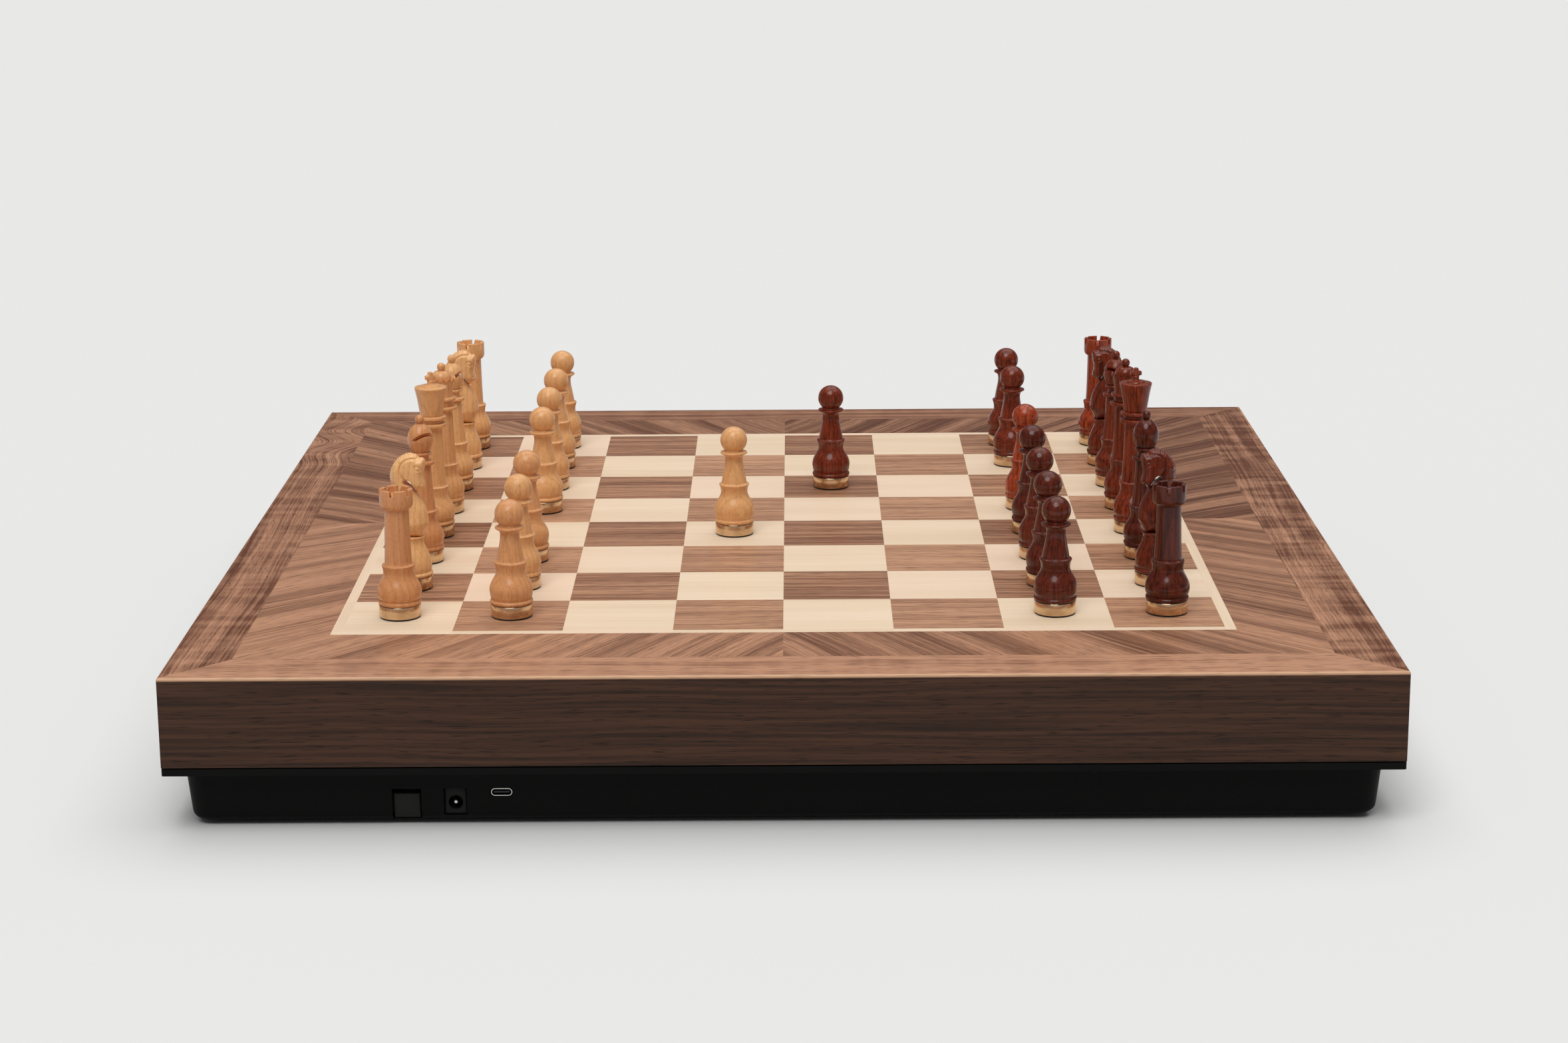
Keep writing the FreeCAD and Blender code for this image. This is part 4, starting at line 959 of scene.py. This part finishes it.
def brass_foot():
    rim = brass_radius - brass_edge
    line = straight((0, felt_top), (rim, felt_top))
    line += arc(rim, felt_top + brass_edge, brass_edge, -90, 0, 3)
    line += arc(rim, brass_top - brass_edge, brass_edge, 0, 90, 3)
    line += straight((bead_middle - 0.4, brass_top), (0, brass_top))
    return lathe(line)


def felt_pad():
    rim = felt_radius - felt_edge
    line = straight((0, 0), (rim, 0))
    line += arc(rim, felt_edge, felt_edge, -90, 0, 3)
    return lathe(line + straight((felt_radius, felt_top), (0, felt_top)))


def finished(name, mesh, material, body, sharp):
    """A piece from a mesh, in its material, that rides on a body."""
    mesh.materials.clear()
    mesh.materials.append(material)
    mesh.shade_smooth()
    mesh.set_sharp_from_angle(angle=math.radians(sharp))
    piece = bpy.data.objects.new(name, mesh)
    bpy.context.scene.collection.objects.link(piece)
    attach(piece, body)
    return piece


def set_piece(name, mesh, material, body, stand):
    """One part of a chess piece, in its own copy of the mesh, standing on its square."""
    own = mesh.copy()
    own.transform(Matrix.Scale(millimetre, 4))
    piece = finished(name, own, material, body, sharp=38)
    piece.matrix_world = stand
    return piece


def moulded_over(node, name, body, material, width):
    """A piece in place of a plain node, with its edges rounded over by a width."""
    bm = bmesh.new()
    bm.from_mesh(nodes[node].data)
    bmesh.ops.remove_doubles(bm, verts=bm.verts, dist=weld * millimetre)
    bmesh.ops.dissolve_limit(bm, angle_limit=math.radians(2), verts=bm.verts, edges=bm.edges)
    piece = finished(name, softened(mesh_of(bm), width), material, body, sharp=40)
    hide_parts(node)


# How each piece is turned on its square, and its tone from pale or deep to warm or red
turns = {"white_bishop_f": -50, "white_bishop_c": -15, "black_bishop_f": 100, "black_bishop_c": -130,
         "white_king": 35, "black_king": 190}
usual_turns = {"white": 0, "black": 180}
tones = {"white_rook_h": 0.95, "white_knight_g": 0.05, "white_bishop_f": 1.0, "white_king": 0.5,
         "white_queen": 0.55, "white_bishop_c": 0.3, "white_knight_b": 0.15, "white_rook_a": 0.3,
         "white_pawn_h": 0.8, "white_pawn_g": 0.45, "white_pawn_f": 0.7,
         "black_rook_h": 0.1, "black_knight_g": 0.25, "black_bishop_f": 0.12, "black_king": 0.5,
         "black_queen": 0.4, "black_knight_b": 0.3, "black_rook_a": 0.85, "black_pawn_h": 0.15,
         "black_pawn_g": 0.15, "black_pawn_f": 0.2, "black_pawn_e": 0.1, "black_pawn_d": 0.95}
usual_tone = 0.38
golden_ratio = 0.618034


def chess_set():
    """Every piece of the set: wood, brass foot and felt pad in place of its plain solid."""
    shapes = {"pawn": pawn(), "rook": rook(), "bishop": bishop(), "queen": queen(), "king": king(),
              "knight": knight()}
    foot_shape = brass_foot()
    pad_shape = felt_pad()
    foot_finish = brass()
    pad_finish = felt()
    woods = {
        "white": turned_wood("light_wood", light_wood_warm, light_wood_pale, streak=0.32,
                             pore_colour=light_fleck, pore_amount=0.45,
                             Coat_Weight=0.25, Coat_Roughness=0.14, Specular_IOR_Level=0.2),
        "black": turned_wood("dark_wood", dark_wood_red, dark_wood_deep, streak=0.72,
                             pore_colour=dark_pore, pore_amount=0.8,
                             Coat_Weight=0.35, Coat_Roughness=0.08, Specular_IOR_Level=0.15),
    }
    names = [node for node in sorted(nodes) if node.split("_")[0] in woods]
    for number, name in enumerate(names):
        colour, kind = name.split("_")[:2]
        low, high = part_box(name)
        place = Vector(((low.x + high.x) / 2, (low.y + high.y) / 2, board_top))
        turn = math.radians(turns.get(name, usual_turns[colour]))
        stand = Matrix.Translation(place) @ Matrix.Rotation(turn, 4, "Z")
        wood = set_piece(name + "_wood", shapes[kind], woods[colour], name, stand)
        wood["tone"] = tones.get(name, usual_tone)
        wood["seed"] = (number * golden_ratio % 1) * seed_range
        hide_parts(name)
        set_piece(name + "_brass", foot_shape, foot_finish, name, stand)
        set_piece(name + "_felt", pad_shape, pad_finish, name, stand)


def dress_nodes():
    """Materials of the construction, and rounded-over copies of its small outer parts."""
    aluminium = metal("aluminium", (0.58, 0.58, 0.60, 1), (0.78, 0.78, 0.80, 1), roughness=0.28,
                      waves=(60.0, 1800.0, 1800.0))
    steel = metal("steel", (0.45, 0.45, 0.44, 1), (0.66, 0.66, 0.65, 1), roughness=0.2,
                  waves=(1800.0, 60.0, 1800.0))
    blackened = moulded("blackened_steel", (0.003, 0.003, 0.003, 1), (0.010, 0.010, 0.010, 1), roughness=0.5,
                        waves=900.0, Specular_IOR_Level=0.07)
    black = moulded("black_plastic", (0.0025, 0.0025, 0.0025, 1), (0.007, 0.007, 0.0067, 1), roughness=0.45,
                    Specular_IOR_Level=0.07)
    rubber = moulded("rubber", (0.012, 0.012, 0.012, 1), (0.035, 0.035, 0.034, 1), roughness=0.75,
                     waves=1400.0)
    paint = moulded("motor_black", (0.020, 0.020, 0.022, 1), (0.055, 0.055, 0.060, 1), roughness=0.3,
                    waves=1200.0)
    button = moulded("button_plastic", (0.006, 0.006, 0.005, 1), (0.026, 0.026, 0.022, 1), roughness=0.45,
                     waves=1500.0, Specular_IOR_Level=0.15)
    finishes = {
        "frame_rail_front": rail_wood("walnut_front", True, seed=1.0, shade=0.46, curl=0.30, swirl=0.9),
        "frame_rail_back": rail_wood("walnut_back", True, seed=4.0, shade=-0.10, curl=0.12, swirl=0.9),
        "frame_rail_left": rail_wood("walnut_left", False, seed=7.0, shade=-0.06, curl=0.40, swirl=0.19),
        "frame_rail_right": rail_wood("walnut_right", False, seed=11.0, shade=-0.06, curl=0.60, swirl=0.9),
        "walnut_veneer": veneer_walnut(), "maple_inlay": maple(), "top_panel": plywood(),
        "base_tray": black, "rod_posts": black, "x_carriage": black,
        "y_belts": rubber, "x_belt": rubber,
        "y_motor": paint, "x_motor": paint,
        "guide_rods": steel, "magnet_head": steel,
        "y_drive_shaft": aluminium, "y_idler_pulleys": aluminium, "gantry_beam": aluminium,
        "x_drive_pulley": aluminium, "x_idler_pulley": aluminium,
        "main_board": circuit("main_board"), "sensor_board": circuit("sensor_board"),
        "usb_c_socket": data_socket(),
    }
    for node, finish in finishes.items():
        nodes[node].data.materials.clear()
        nodes[node].data.materials.append(finish)
    moulded_over("power_button", "push_button", "power_button", button, width=0.0005)
    moulded_over("dc_jack", "power_socket", "board", power_socket(), width=0.0002)
    moulded_over("rubber_feet", "round_feet", "board", rubber, width=0.0006)
    moulded_over("screws", "pan_head_screws", "board", blackened, width=0.0004)


def floor():
    """A plain pale floor."""
    bm = bmesh.new()
    bmesh.ops.create_circle(bm, cap_ends=True, radius=floor_radius, segments=floor_sides)
    ground = bpy.data.objects.new("floor", mesh_of(bm))
    ground.location.z = -floor_gap
    bpy.context.scene.collection.objects.link(ground)
    s = Surface("floor", Specular_IOR_Level=0.1)
    ground.data.materials.append(s.finish(floor_colour, floor_roughness))


def light_and_camera():
    """Broad soft lamps, a dim even sky, and the camera."""
    scene = bpy.context.scene
    for name, direction, breadth, strength in lamps:
        data = bpy.data.lights.new(name, "SUN")
        data.angle = math.radians(breadth)
        data.energy = strength
        lamp = bpy.data.objects.new(name, data)
        lamp.location = Vector(direction)
        lamp.rotation_euler = Vector(direction).to_track_quat("Z", "Y").to_euler()
        scene.collection.objects.link(lamp)
    world = bpy.data.worlds.new("studio")
    world.use_nodes = True
    world.node_tree.nodes["Background"].inputs["Color"].default_value = sky_colour
    scene.world = world
    data = bpy.data.cameras.new("camera")
    data.lens = camera_lens
    data.sensor_width = camera_sensor
    camera = bpy.data.objects.new("camera", data)
    camera.location = camera_place
    camera.rotation_euler = [math.radians(angle) for angle in camera_turn]
    scene.collection.objects.link(camera)
    scene.camera = camera
    scene.view_settings.view_transform = "Standard"


dress_nodes()
chess_set()
floor()
light_and_camera()
